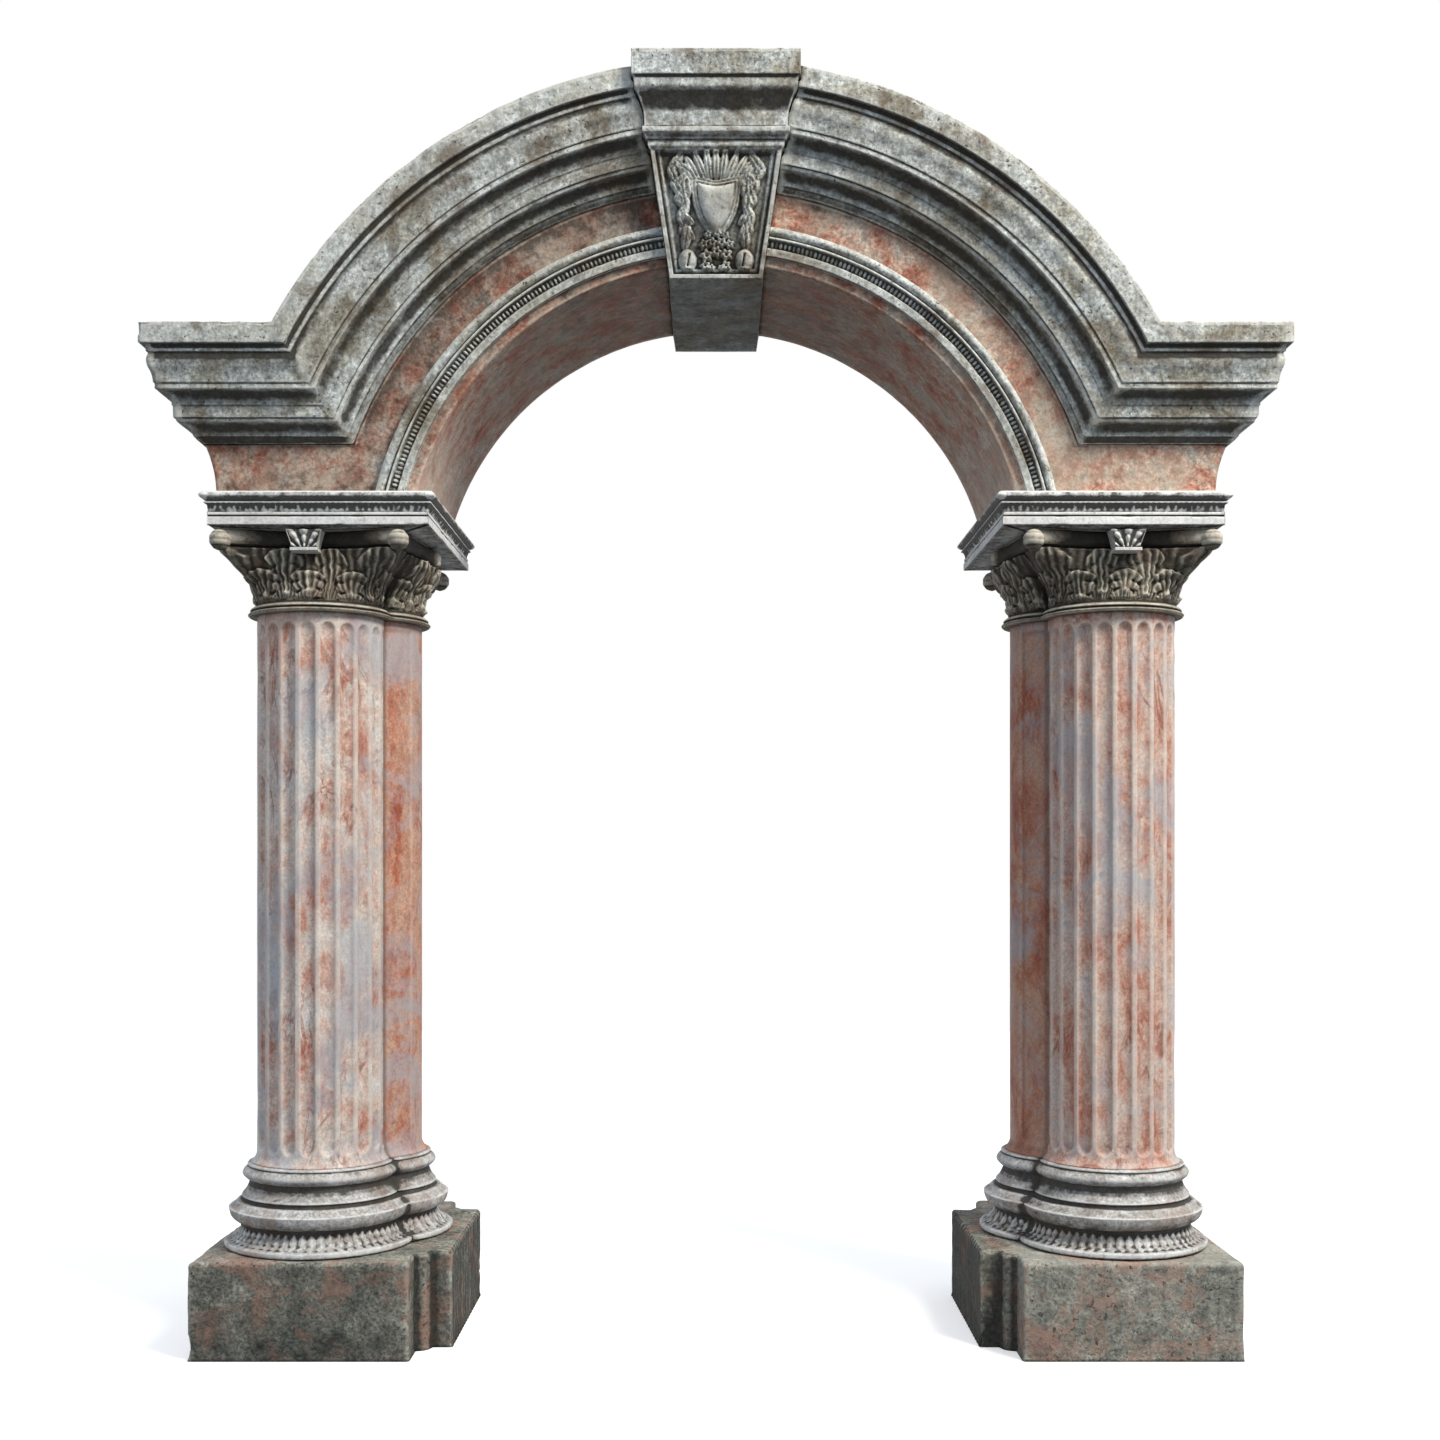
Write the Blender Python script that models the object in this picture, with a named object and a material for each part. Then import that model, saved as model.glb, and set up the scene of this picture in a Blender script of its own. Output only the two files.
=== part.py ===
"""Garden or court portal: a round stone arch on two clustered column piers.

Metres, +Z up. The opening is seen along Y, the front faces -Y, and the
object stands on Z = 0 with its middle on X = 0, Y = 0.
"""
import math

import bmesh
import bpy

# Clearance left between two stones that bear on or pass each other
JOINT = 0.0003

# Clustered columns: a front, an inner and a rear column in one pier
COLUMN_X = 1.1495
INNER_COLUMN_SHIFT = 0.0825
SHAFT_RADIUS = 0.1815
COLUMN_OVERLAP = 0.0165
SHAFT_HEIGHT = 1.5667
APOPHYGE = 0.033
APOPHYGE_SPREAD = 0.0165
FLUTE_COUNT = 20
FLUTE_SHARE = 0.75
FLUTE_DEPTH = 0.0125
FLUTE_END = 0.030
FLUTE_SEGMENTS = 3
OUTER_ARC_STEPS = 11
INNER_ARC_STEPS = 6
INNER_COLUMN_X = COLUMN_X - INNER_COLUMN_SHIFT
COLUMN_Y = SHAFT_RADIUS - COLUMN_OVERLAP

# Bases: mouldings as shares of the spread beyond the shaft and of the height
BASE_HEIGHT = 0.2367
BASE_SPREAD = 0.0925
BASE_PROFILE = [
    (0.957, 0.000), (1.000, 0.063), (0.741, 0.135), (0.535, 0.232), (0.535, 0.279), (0.697, 0.313),
    (0.757, 0.418), (0.697, 0.524), (0.416, 0.558), (0.438, 0.600), (0.238, 0.777), (0.378, 0.811),
    (0.449, 0.894), (0.378, 0.976), (0.238, 1.000),
]
BASE_RADIUS = SHAFT_RADIUS + BASE_SPREAD

# Plinths: front and rear block with an inner block towards the opening
PLINTH_HEIGHT = 0.275
PLINTH_SIDE_MARGIN = 0.0315
PLINTH_FRONT_MARGIN = 0.015
INNER_BLOCK_MARGIN = 0.048
INNER_BLOCK_SIDE_MARGIN = 0.034
PLINTH_FILLET = 0.041
PLINTH_CHAMFER = 0.012
PLINTH_IN = COLUMN_X - BASE_RADIUS - PLINTH_SIDE_MARGIN
PLINTH_OUT = COLUMN_X + BASE_RADIUS + PLINTH_SIDE_MARGIN
PLINTH_HALF_DEPTH = COLUMN_Y + BASE_RADIUS + PLINTH_FRONT_MARGIN
INNER_BLOCK_IN = INNER_COLUMN_X - BASE_RADIUS - INNER_BLOCK_MARGIN
INNER_BLOCK_HALF_DEPTH = BASE_RADIUS + INNER_BLOCK_SIDE_MARGIN

# Imposts: plain lower fascia, then mouldings as shares of height and reach
IMPOST_HEIGHT = 0.094
IMPOST_IN = 0.799
IMPOST_OUT = 1.418
IMPOST_HALF_DEPTH = 0.396
IMPOST_REACH = 0.0165
IMPOST_PROFILE = [
    (0.000, 0.000), (0.245, 0.000), (0.250, -0.485), (0.287, -0.485), (0.293, -0.121), (0.383, -0.121),
    (0.388, -0.545), (0.511, -0.364), (0.644, 0.242), (0.649, 0.485), (0.723, 0.485), (0.729, 0.667),
    (0.819, 1.000), (0.936, 1.000), (1.000, 0.606),
]

# Capitals: astragals, flared bell, hollow-sided top under the impost
CAPITAL_HEIGHT = 0.2347
ASTRAGAL_SPREAD = 0.0239
NECK_SPREAD = 0.0015
ASTRAGAL_LEVELS = [(0.75, 0.0), (1.0, 0.030), (0.62, 0.060), (0.87, 0.081), (0.58, 0.111)]
BELL_LEVELS = [(0.115, 0.0), (0.294, 0.10), (0.400, 0.27), (0.511, 0.57), (0.614, 0.86)]
VOLUTE_RADIUS = 0.030
VOLUTE_DROP = 0.0377
VOLUTE_OUTER_INSET = 0.029
VOLUTE_INNER_INSET = 0.0865
VOLUTE_FRONT_INSET = 0.019
MIDDLE_ROLL_INSET = 0.034
SIDE_HOLLOW = 0.045
ROLL_BULGE = 0.0126
ROLL_HEIGHT = 0.043
ROLL_DROP = 0.0107
ROLL_EDGE = 0.012
TOP_INSET = 0.016
CAPITAL_STEP = math.radians(13)
ASTRAGAL_RADIUS = SHAFT_RADIUS + ASTRAGAL_SPREAD
NECK_RADIUS = SHAFT_RADIUS + NECK_SPREAD
VOLUTE_OUT_X = IMPOST_OUT - VOLUTE_OUTER_INSET
VOLUTE_IN_X = IMPOST_IN + VOLUTE_INNER_INSET
VOLUTE_Y = IMPOST_HALF_DEPTH - VOLUTE_FRONT_INSET
MIDDLE_ROLL_X = IMPOST_IN + MIDDLE_ROLL_INSET
PIER_CENTRE_X = (COLUMN_X + INNER_COLUMN_X) / 2

# Fleurons: carved block in the middle of the front and rear of a capital
FLEURON_WIDTH = 0.100
FLEURON_HEIGHT = 0.058
FLEURON_DROP = 0.0127
FLEURON_PROUD = 0.020
FLEURON_ROOT = 0.075
FLEURON_LEVELS = [(0.0, 0.36), (0.155, 0.40), (0.19, 0.33), (0.52, 0.36), (0.79, 0.46), (1.0, 0.50)]

# Arch: wall between soffit and cornice, standing back from the impost
CENTRE_DROP = 0.222
SOFFIT_RADIUS = 0.876
RING_HEIGHT = 0.2105
WALL_STEP_BACK = 0.0674
WALL_SIDE_STEP_BACK = 0.008
WALL_FLARE = 0.0327
FLARE_STEPS = 4
ARC_STEPS = 12
WALL_HALF_DEPTH = IMPOST_HALF_DEPTH - WALL_STEP_BACK
WALL_OUT_LOW = IMPOST_OUT - WALL_SIDE_STEP_BACK
WALL_OUT_HIGH = WALL_OUT_LOW + WALL_FLARE

# Face rings: shares of the ring's width and of its projection
FACE_BAND = 0.0275
FACE_RING_WIDTH = 0.0835
FACE_RING_PROUD = 0.032
FRONT_RING_PROFILE = [
    (0.000, 0.000), (0.000, 0.500), (0.263, 0.562), (0.275, 0.312), (0.545, 0.688), (0.551, 0.844),
    (0.659, 0.844), (0.671, 0.656), (0.719, 0.938), (0.850, 1.000), (0.964, 0.750), (1.000, 0.000),
]
BACK_RING_PROFILE = [
    (0.000, 0.000), (0.000, 0.500), (0.263, 0.562), (0.545, 0.750), (0.719, 0.938), (0.928, 0.875),
    (1.000, 0.000),
]

# Cornice: distance in from the outer edge and projection, as shares
CORNICE_WIDTH = 0.305
CORNICE_REACH = 0.1425
LEVEL_RISE = 0.1437
CORNICE_PROFILE = [
    (0.000, 1.000), (0.190, 1.000), (0.193, 0.898), (0.256, 0.898), (0.367, 0.870), (0.518, 0.779),
    (0.577, 0.758), (0.584, 0.716), (0.620, 0.575), (0.662, 0.502), (0.807, 0.484), (0.813, 0.421),
    (0.843, 0.393), (0.885, 0.246), (0.948, 0.175), (1.000, 0.007),
]
CORNICE_RADIUS_IN = SOFFIT_RADIUS + RING_HEIGHT
CORNICE_RADIUS = CORNICE_RADIUS_IN + CORNICE_WIDTH

# Keystone: cap levels as shares of its height, spread and extra reach
KEY_HALF_ANGLE = math.radians(8.95)
KEY_DROP = 0.052
KEY_CAP_HEIGHT = 0.252
KEY_RISE = 0.0155
KEY_SPREAD = 0.0502
KEY_FACE_LOW = 0.032
KEY_FACE_HIGH = 0.104
KEY_CAP_REACH = 0.0665
KEY_CAP = [
    (0.000, 0.000, 0.000), (0.044, 0.143, 0.090), (0.095, 0.143, 0.090), (0.099, 0.243, 0.165),
    (0.159, 0.343, 0.286), (0.171, 0.442, 0.361), (0.230, 0.442, 0.361), (0.234, 0.323, 0.316),
    (0.393, 0.363, 0.376), (0.512, 0.582, 0.602), (0.615, 0.841, 0.842), (0.702, 0.880, 0.887),
    (0.726, 1.000, 1.000), (1.000, 1.000, 1.000),
]
PANEL_BORDER = 0.014
PANEL_FRAME = 0.012
PANEL_RELIEF = 0.008
SHIELD_HALF_WIDTH = 0.068
SHIELD_HALF_HEIGHT = 0.079
SHIELD_RELIEF = 0.020
SHIELD_RISE = 0.200
SHIELD_STEPS = 16
FLOWER_RADIUS = 0.026
FLOWER_RISE = 0.075
CARVING_LEVELS = [(1.0, -0.7), (1.0, 0.45), (0.88, 0.8), (0.5, 1.0)]

# Heights of the stones, each on the one below
BASE_LOW = PLINTH_HEIGHT + JOINT
SHAFT_LOW = BASE_LOW + BASE_HEIGHT + JOINT
SHAFT_TOP = SHAFT_LOW + SHAFT_HEIGHT
CAPITAL_LOW = SHAFT_TOP + JOINT
CAPITAL_TOP = CAPITAL_LOW + CAPITAL_HEIGHT
IMPOST_LOW = CAPITAL_TOP + JOINT
SPRINGING = IMPOST_LOW + IMPOST_HEIGHT + JOINT
ARCH_CENTRE_Z = SPRINGING - CENTRE_DROP
CORNICE_LOW = SPRINGING + LEVEL_RISE
CORNICE_TOP = CORNICE_LOW + CORNICE_WIDTH
KEY_BOTTOM = ARCH_CENTRE_Z + SOFFIT_RADIUS - KEY_DROP
KEY_TOP = ARCH_CENTRE_Z + CORNICE_RADIUS + KEY_RISE
KEY_FACE_TOP = KEY_TOP - KEY_CAP_HEIGHT
KEY_FACE_HALF = (KEY_FACE_TOP - ARCH_CENTRE_Z) * math.tan(KEY_HALF_ANGLE)
ROLL_HIGH = CAPITAL_TOP - ROLL_DROP
ROLL_LOW = ROLL_HIGH - ROLL_HEIGHT
VOLUTE_Z = CAPITAL_TOP - VOLUTE_DROP
FLEURON_HIGH = CAPITAL_TOP - FLEURON_DROP
FLEURON_LOW = FLEURON_HIGH - FLEURON_HEIGHT


def clear_scene():
    """Remove every object of the start-up scene."""
    for item in list(bpy.data.objects):
        bpy.data.objects.remove(item, do_unlink=True)


def stone(name, colour, roughness):
    """A Principled stone material of one colour."""
    material = bpy.data.materials.new(name)
    material.use_nodes = True
    shader = material.node_tree.nodes["Principled BSDF"]
    shader.inputs["Base Color"].default_value = (*colour, 1.0)
    shader.inputs["Roughness"].default_value = roughness
    material.diffuse_color = (*colour, 1.0)
    return material


def add_object(name, points, faces, material, smooth=None):
    """Make a closed body with outward faces; smooth is the shading angle."""
    mesh = bpy.data.meshes.new(name)
    mesh.from_pydata(points, [], faces)
    body = bmesh.new()
    body.from_mesh(mesh)
    bmesh.ops.recalc_face_normals(body, faces=body.faces)
    if smooth is not None:
        for face in body.faces:
            face.smooth = True
        for edge in body.edges:
            if len(edge.link_faces) == 2:
                edge.smooth = edge.calc_face_angle(0.0) < smooth
    body.to_mesh(mesh)
    body.free()
    mesh.materials.append(material)
    item = bpy.data.objects.new(name, mesh)
    bpy.context.scene.collection.objects.link(item)
    return item


def loft(rings):
    """Points and faces of a body through rings of equal length, ends closed."""
    count = len(rings[0])
    points = [point for ring in rings for point in ring]
    faces = []
    for level in range(len(rings) - 1):
        low = level * count
        high = low + count
        for index in range(count):
            after = (index + 1) % count
            faces.append((low + index, low + after, high + after, high + index))
    faces.append(tuple(range(count)))
    faces.append(tuple(range(len(points) - count, len(points))))
    return points, faces


def crease_angles(radius):
    """Angles on the front circle where it meets the rear and inner circle."""
    outer = math.asin(COLUMN_Y / radius)
    half = math.hypot(COLUMN_X - INNER_COLUMN_X, COLUMN_Y) / 2
    towards = math.atan2(COLUMN_Y, INNER_COLUMN_X - COLUMN_X)
    inner = towards + math.acos(half / radius)
    return outer, inner - 2 * math.pi


def inner_half_angle(radius):
    """Half the arc of the inner circle that shows, about the -X direction."""
    half = math.hypot(COLUMN_X - INNER_COLUMN_X, COLUMN_Y) / 2
    towards = math.atan2(-COLUMN_Y, COLUMN_X - INNER_COLUMN_X)
    return math.pi + towards - math.acos(half / radius)


def pier_outline(radius, front_angles=None):
    """Plan outline of the three merged circles, from the outer crease round.

    It runs over the front circle, the inner circle and the rear circle.
    front_angles are the inner points of the front arc; the rear arc is plain.
    """
    start, end = crease_angles(radius)
    if front_angles is None:
        steps = OUTER_ARC_STEPS
        front_angles = [start + (end - start) * index / steps for index in range(1, steps)]
    front_angles = [(angle, 0.0) if isinstance(angle, float) else angle for angle in front_angles]
    outline = []
    for angle, cut in [(start, 0.0)] + front_angles + [(end, 0.0)]:
        reach = radius - cut
        outline.append((COLUMN_X + reach * math.cos(angle), -COLUMN_Y + reach * math.sin(angle)))
    half = inner_half_angle(radius)
    for index in range(1, INNER_ARC_STEPS):
        angle = math.pi + half - 2 * half * index / INNER_ARC_STEPS
        outline.append((INNER_COLUMN_X + radius * math.cos(angle), radius * math.sin(angle)))
    steps = OUTER_ARC_STEPS
    for index in range(steps):
        angle = end + (start - end) * index / steps
        outline.append((COLUMN_X + radius * math.cos(angle), COLUMN_Y - radius * math.sin(angle)))
    return outline


def at_height(outline, height):
    return [(x, y, height) for x, y in outline]


def mirrored(points, side):
    """The points on the left (side -1) or right (side 1) pier."""
    return [(side * x, y, z) for x, y, z in points]


def plinth(name, side, material):
    """Block with a second block towards the opening, joined by hollows."""
    def outline(inset):
        half = []
        half.append((PLINTH_OUT - inset, -PLINTH_HALF_DEPTH + inset))
        half.append((PLINTH_IN + inset, -PLINTH_HALF_DEPTH + inset))
        hollow = PLINTH_FILLET - inset
        centre_x = PLINTH_IN - PLINTH_FILLET
        centre_y = -INNER_BLOCK_HALF_DEPTH - PLINTH_FILLET
        reach = PLINTH_FILLET + inset
        for index in range(6):
            angle = math.radians(90 * index / 5)
            half.append((centre_x + reach * math.cos(angle), centre_y + reach * math.sin(angle)))
        half.append((INNER_BLOCK_IN + inset, -INNER_BLOCK_HALF_DEPTH + inset))
        return half + [(x, -y) for x, y in reversed(half)]

    rings = [
        at_height(outline(0.0), 0.0),
        at_height(outline(0.0), PLINTH_HEIGHT - PLINTH_CHAMFER),
        at_height(outline(PLINTH_CHAMFER), PLINTH_HEIGHT),
    ]
    points, faces = loft(rings)
    return add_object(name, mirrored(points, side), faces, material)


def base(name, side, material):
    """Moulded base that follows the three columns."""
    rings = []
    for spread, rise in BASE_PROFILE:
        outline = pier_outline(SHAFT_RADIUS + BASE_SPREAD * spread)
        rings.append(at_height(outline, BASE_LOW + BASE_HEIGHT * rise))
    points, faces = loft(rings)
    return add_object(name, mirrored(points, side), faces, material, math.radians(32))


def flute_angles(depth):
    """Angle and cut of every point on the fluted front arc."""
    pitch = 2 * math.pi / FLUTE_COUNT
    start, end = crease_angles(SHAFT_RADIUS)
    first = -math.pi / 2
    found = []
    for number in range(-FLUTE_COUNT, FLUTE_COUNT):
        middle = first + number * pitch
        low = middle - pitch * FLUTE_SHARE / 2
        for index in range(FLUTE_SEGMENTS + 1):
            share = index / FLUTE_SEGMENTS
            angle = low + pitch * FLUTE_SHARE * share
            cut = depth * math.sin(math.pi * share)
            if low > end + 0.02 and low + pitch * FLUTE_SHARE < start - 0.02:
                found.append((angle, cut))
    return sorted(found, reverse=True)


def shaft(name, side, material):
    """Marble shaft: fluted front column, plain inner and rear columns."""
    foot = SHAFT_LOW
    head = SHAFT_TOP
    levels = [
        (foot, APOPHYGE_SPREAD, 0.0),
        (foot + APOPHYGE, 0.0, 0.0),
        (foot + APOPHYGE + FLUTE_END * 0.45, 0.0, 0.8),
        (foot + APOPHYGE + FLUTE_END, 0.0, 1.0),
        (head - 2 * FLUTE_END, 0.0, 1.0),
        (head - FLUTE_END * 1.45, 0.0, 0.8),
        (head - FLUTE_END, 0.0, 0.0),
        (head, 0.0, 0.0),
    ]
    rings = []
    for height, spread, depth in levels:
        outline = pier_outline(SHAFT_RADIUS + spread, flute_angles(FLUTE_DEPTH * depth))
        rings.append(at_height(outline, height))
    points, faces = loft(rings)
    return add_object(name, mirrored(points, side), faces, material, math.radians(24))


def concave(first, second, hollow, share):
    """Point on a side that sags towards the pier middle by hollow."""
    x = first[0] + (second[0] - first[0]) * share
    y = first[1] + (second[1] - first[1]) * share
    sag = hollow * math.sin(math.pi * share)
    reach = math.hypot(x - PIER_CENTRE_X, y)
    return x - sag * (x - PIER_CENTRE_X) / reach, y - sag * y / reach


def top_reach(angle):
    """Distance from the pier middle to the hollow-sided top outline."""
    corners = [
        (VOLUTE_OUT_X, VOLUTE_Y), (VOLUTE_OUT_X, -VOLUTE_Y), (VOLUTE_IN_X, -VOLUTE_Y),
        (MIDDLE_ROLL_X, 0.0), (VOLUTE_IN_X, VOLUTE_Y),
    ]
    hollows = [SIDE_HOLLOW, SIDE_HOLLOW, 0.0, 0.0, SIDE_HOLLOW]
    trail = []
    for index, corner in enumerate(corners):
        after = corners[(index + 1) % len(corners)]
        for step in range(12):
            trail.append(concave(corner, after, hollows[index], step / 12))
    ray = (math.cos(angle), math.sin(angle))
    best = 0.0
    for index, (ax, ay) in enumerate(trail):
        bx, by = trail[(index + 1) % len(trail)]
        ax -= PIER_CENTRE_X
        bx -= PIER_CENTRE_X
        across_a = ray[0] * ay - ray[1] * ax
        across_b = ray[0] * by - ray[1] * bx
        if across_a * across_b > 0 or across_a == across_b:
            continue
        share = across_a / (across_a - across_b)
        x = ax + (bx - ax) * share
        y = ay + (by - ay) * share
        best = max(best, x * ray[0] + y * ray[1])
    return best


def cluster_reach(radius, angle):
    """Distance from the pier middle to the merged circles along an angle."""
    ray = (math.cos(angle), math.sin(angle))
    best = 0.0
    for x, y in [(COLUMN_X, -COLUMN_Y), (COLUMN_X, COLUMN_Y), (INNER_COLUMN_X, 0.0)]:
        along = (x - PIER_CENTRE_X) * ray[0] + y * ray[1]
        aside = (x - PIER_CENTRE_X) * ray[1] - y * ray[0]
        if abs(aside) < radius:
            best = max(best, along + math.sqrt(radius * radius - aside * aside))
    return best


def capital_angles():
    """Angles round the pier middle: even steps, creases and roll corners."""
    start, end = crease_angles(SHAFT_RADIUS)
    crease_x = COLUMN_X + SHAFT_RADIUS * math.cos(end) - PIER_CENTRE_X
    crease_y = -COLUMN_Y + SHAFT_RADIUS * math.sin(end)
    fixed = [0.0, math.pi, math.atan2(VOLUTE_Y, VOLUTE_OUT_X - PIER_CENTRE_X)]
    fixed.append(math.atan2(VOLUTE_Y, VOLUTE_IN_X - PIER_CENTRE_X))
    fixed.append(math.atan2(-crease_y, crease_x))
    half = [0.0, math.pi]
    marks = sorted(fixed)
    for low, high in zip(marks, marks[1:]):
        steps = max(1, round((high - low) / CAPITAL_STEP))
        half += [low + (high - low) * index / steps for index in range(1, steps + 1)]
    half = sorted(set(half))
    return half[:-1] + [-angle for angle in reversed(half)][:-1]


def bell_outline(radius, share, bulge=0.0):
    """Blend of the merged circles (share 0) and the top outline (share 1)."""
    outline = []
    for angle in capital_angles():
        reach = cluster_reach(radius, angle)
        wide = top_reach(angle) + bulge
        blend = reach + (wide - reach) * share
        outline.append((PIER_CENTRE_X + blend * math.cos(angle), blend * math.sin(angle)))
    return outline


def ball_body(name, centre, radius, material, segments=8, rings=5, squash=(1.0, 1.0, 1.0)):
    body = bmesh.new()
    bmesh.ops.create_uvsphere(body, u_segments=segments, v_segments=rings, radius=radius)
    for vertex in body.verts:
        vertex.co.x = vertex.co.x * squash[0] + centre[0]
        vertex.co.y = vertex.co.y * squash[1] + centre[1]
        vertex.co.z = vertex.co.z * squash[2] + centre[2]
    mesh = bpy.data.meshes.new(name)
    body.to_mesh(mesh)
    body.free()
    mesh.materials.append(material)
    item = bpy.data.objects.new(name, mesh)
    bpy.context.scene.collection.objects.link(item)
    return item


def join_bodies(main, others, smooth):
    """Union of overlapping bodies into the first one."""
    bpy.context.view_layer.objects.active = main
    for other in others:
        union = main.modifiers.new("union", "BOOLEAN")
        union.operation = "UNION"
        union.solver = "EXACT"
        union.object = other
        depsgraph = bpy.context.evaluated_depsgraph_get()
        mesh = bpy.data.meshes.new_from_object(main.evaluated_get(depsgraph))
        main.modifiers.clear()
        main.data = mesh
        bpy.data.objects.remove(other, do_unlink=True)
    body = bmesh.new()
    body.from_mesh(main.data)
    bmesh.ops.remove_doubles(body, verts=body.verts, dist=0.0001)
    bmesh.ops.dissolve_degenerate(body, edges=body.edges, dist=0.0001)
    bmesh.ops.recalc_face_normals(body, faces=body.faces)
    for face in body.faces:
        face.smooth = True
    for edge in body.edges:
        if len(edge.link_faces) == 2:
            edge.smooth = edge.calc_face_angle(0.0) < smooth
    body.to_mesh(main.data)
    body.free()
    return main


def capital(name, side, material):
    """Capital: astragals, bell, rolls, corner volutes and the fleuron."""
    rings = []
    for spread, rise in ASTRAGAL_LEVELS:
        outline = bell_outline(SHAFT_RADIUS + ASTRAGAL_SPREAD * spread, 0.0)
        rings.append(at_height(outline, CAPITAL_LOW + CAPITAL_HEIGHT * rise))
    for rise, share in BELL_LEVELS:
        rings.append(at_height(bell_outline(NECK_RADIUS, share), CAPITAL_LOW + CAPITAL_HEIGHT * rise))
    for height, bulge in [
        (ROLL_LOW, -TOP_INSET), (ROLL_LOW + ROLL_EDGE, ROLL_BULGE), (ROLL_HIGH - ROLL_EDGE, ROLL_BULGE),
        (ROLL_HIGH, -TOP_INSET / 4), (CAPITAL_TOP, -TOP_INSET),
    ]:
        rings.append(at_height(bell_outline(NECK_RADIUS, 1.0, bulge), height))
    points, faces = loft(rings)
    body = add_object(name, mirrored(points, side), faces, material)
    extras = []
    for x, y in [
        (VOLUTE_OUT_X, -VOLUTE_Y), (VOLUTE_IN_X, -VOLUTE_Y),
        (VOLUTE_OUT_X, VOLUTE_Y), (VOLUTE_IN_X, VOLUTE_Y),
    ]:
        centre = (side * x, y, VOLUTE_Z)
        extras.append(ball_body("volute", centre, VOLUTE_RADIUS, material))
    middle = (side * MIDDLE_ROLL_X, 0.0, VOLUTE_Z)
    extras.append(ball_body("middle_roll", middle, VOLUTE_RADIUS, material, squash=(1.0, 2.2, 0.8)))
    return join_bodies(body, extras, math.radians(38))


def fleuron(name, side, front, material):
    """Carved block in the middle of the capital side, wider at its top."""
    lip = VOLUTE_Y + FLEURON_PROUD
    back = lip - FLEURON_ROOT - SIDE_HOLLOW / 2
    rings = []
    for rise, share in FLEURON_LEVELS:
        half = FLEURON_WIDTH * share
        face = lip - FLEURON_WIDTH * (0.5 - share)
        height = FLEURON_LOW + FLEURON_HEIGHT * rise
        rings.append([
            (COLUMN_X - half, -front * back, height), (COLUMN_X - half, -front * face, height),
            (COLUMN_X + half, -front * face, height), (COLUMN_X + half, -front * back, height),
        ])
    points, faces = loft(rings)
    return add_object(name, mirrored(points, side), faces, material)


def impost(name, side, material):
    """Moulded block between capital and arch."""
    rings = []
    for rise, share in IMPOST_PROFILE:
        reach = IMPOST_REACH * share
        height = IMPOST_LOW + IMPOST_HEIGHT * rise
        left = IMPOST_IN - reach
        right = IMPOST_OUT + reach
        deep = IMPOST_HALF_DEPTH + reach
        rings.append(at_height([(left, -deep), (right, -deep), (right, deep), (left, deep)], height))
    points, faces = loft(rings)
    return add_object(name, mirrored(points, side), faces, material)


def on_circle(radius, angle):
    """Point of a circle about the arch centre; the angle is from vertical."""
    return radius * math.sin(angle), ARCH_CENTRE_Z + radius * math.cos(angle)


def key_stop(radius):
    """Angle at which a circle about the arch centre meets the keystone."""
    return KEY_HALF_ANGLE + JOINT / radius


def arch_wall(name, side, material):
    """Half of the arch wall between the openings' soffit and the cornice."""
    outline = []
    low_angle = math.acos((SPRINGING - ARCH_CENTRE_Z) / SOFFIT_RADIUS)
    stop = key_stop(SOFFIT_RADIUS)
    for index in range(ARC_STEPS + 1):
        outline.append(on_circle(SOFFIT_RADIUS, stop + (low_angle - stop) * index / ARC_STEPS))
    top = CORNICE_LOW - JOINT
    for index in range(FLARE_STEPS + 1):
        share = index / FLARE_STEPS
        reach = WALL_OUT_LOW + (WALL_OUT_HIGH - WALL_OUT_LOW) * share ** 2
        outline.append((reach, SPRINGING + (top - SPRINGING) * share))
    radius = CORNICE_RADIUS_IN - JOINT
    turn = math.acos((top - ARCH_CENTRE_Z) / radius)
    stop = key_stop(radius)
    for index in range(ARC_STEPS + 1):
        outline.append(on_circle(radius, turn + (stop - turn) * index / ARC_STEPS))
    rings = [
        [(side * x, -WALL_HALF_DEPTH, z) for x, z in outline],
        [(side * x, WALL_HALF_DEPTH, z) for x, z in outline],
    ]
    points, faces = loft(rings)
    return add_object(name, points, faces, material, math.radians(24))


def face_ring(name, side, front, material):
    """Moulded ring on the arch face, from the impost to the keystone."""
    low = SPRINGING + JOINT
    start = WALL_HALF_DEPTH + JOINT
    profile = FRONT_RING_PROFILE if front > 0 else BACK_RING_PROFILE
    rings = []
    for index in range(ARC_STEPS + 1):
        share = index / ARC_STEPS
        ring = []
        for out, proud in profile:
            radius = SOFFIT_RADIUS + FACE_BAND + FACE_RING_WIDTH * out
            rise = FACE_RING_PROUD * proud
            foot = math.acos((low - ARCH_CENTRE_Z) / radius)
            stop = key_stop(radius)
            x, z = on_circle(radius, foot + (stop - foot) * share)
            ring.append((side * x, -front * (start + rise), z))
        rings.append(ring)
    points, faces = loft(rings)
    return add_object(name, points, faces, material, math.radians(24))


def key_half_width(height):
    """Half width of the keystone at a height, cap mouldings included."""
    if height <= KEY_FACE_TOP:
        return (height - ARCH_CENTRE_Z) * math.tan(KEY_HALF_ANGLE)
    rise = (height - KEY_FACE_TOP) / KEY_CAP_HEIGHT
    below = KEY_CAP[0]
    for level in KEY_CAP[1:]:
        if rise <= level[0]:
            share = (rise - below[0]) / (level[0] - below[0])
            return KEY_FACE_HALF + KEY_SPREAD * (below[1] + (level[1] - below[1]) * share)
        below = level
    return KEY_FACE_HALF + KEY_SPREAD


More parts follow.
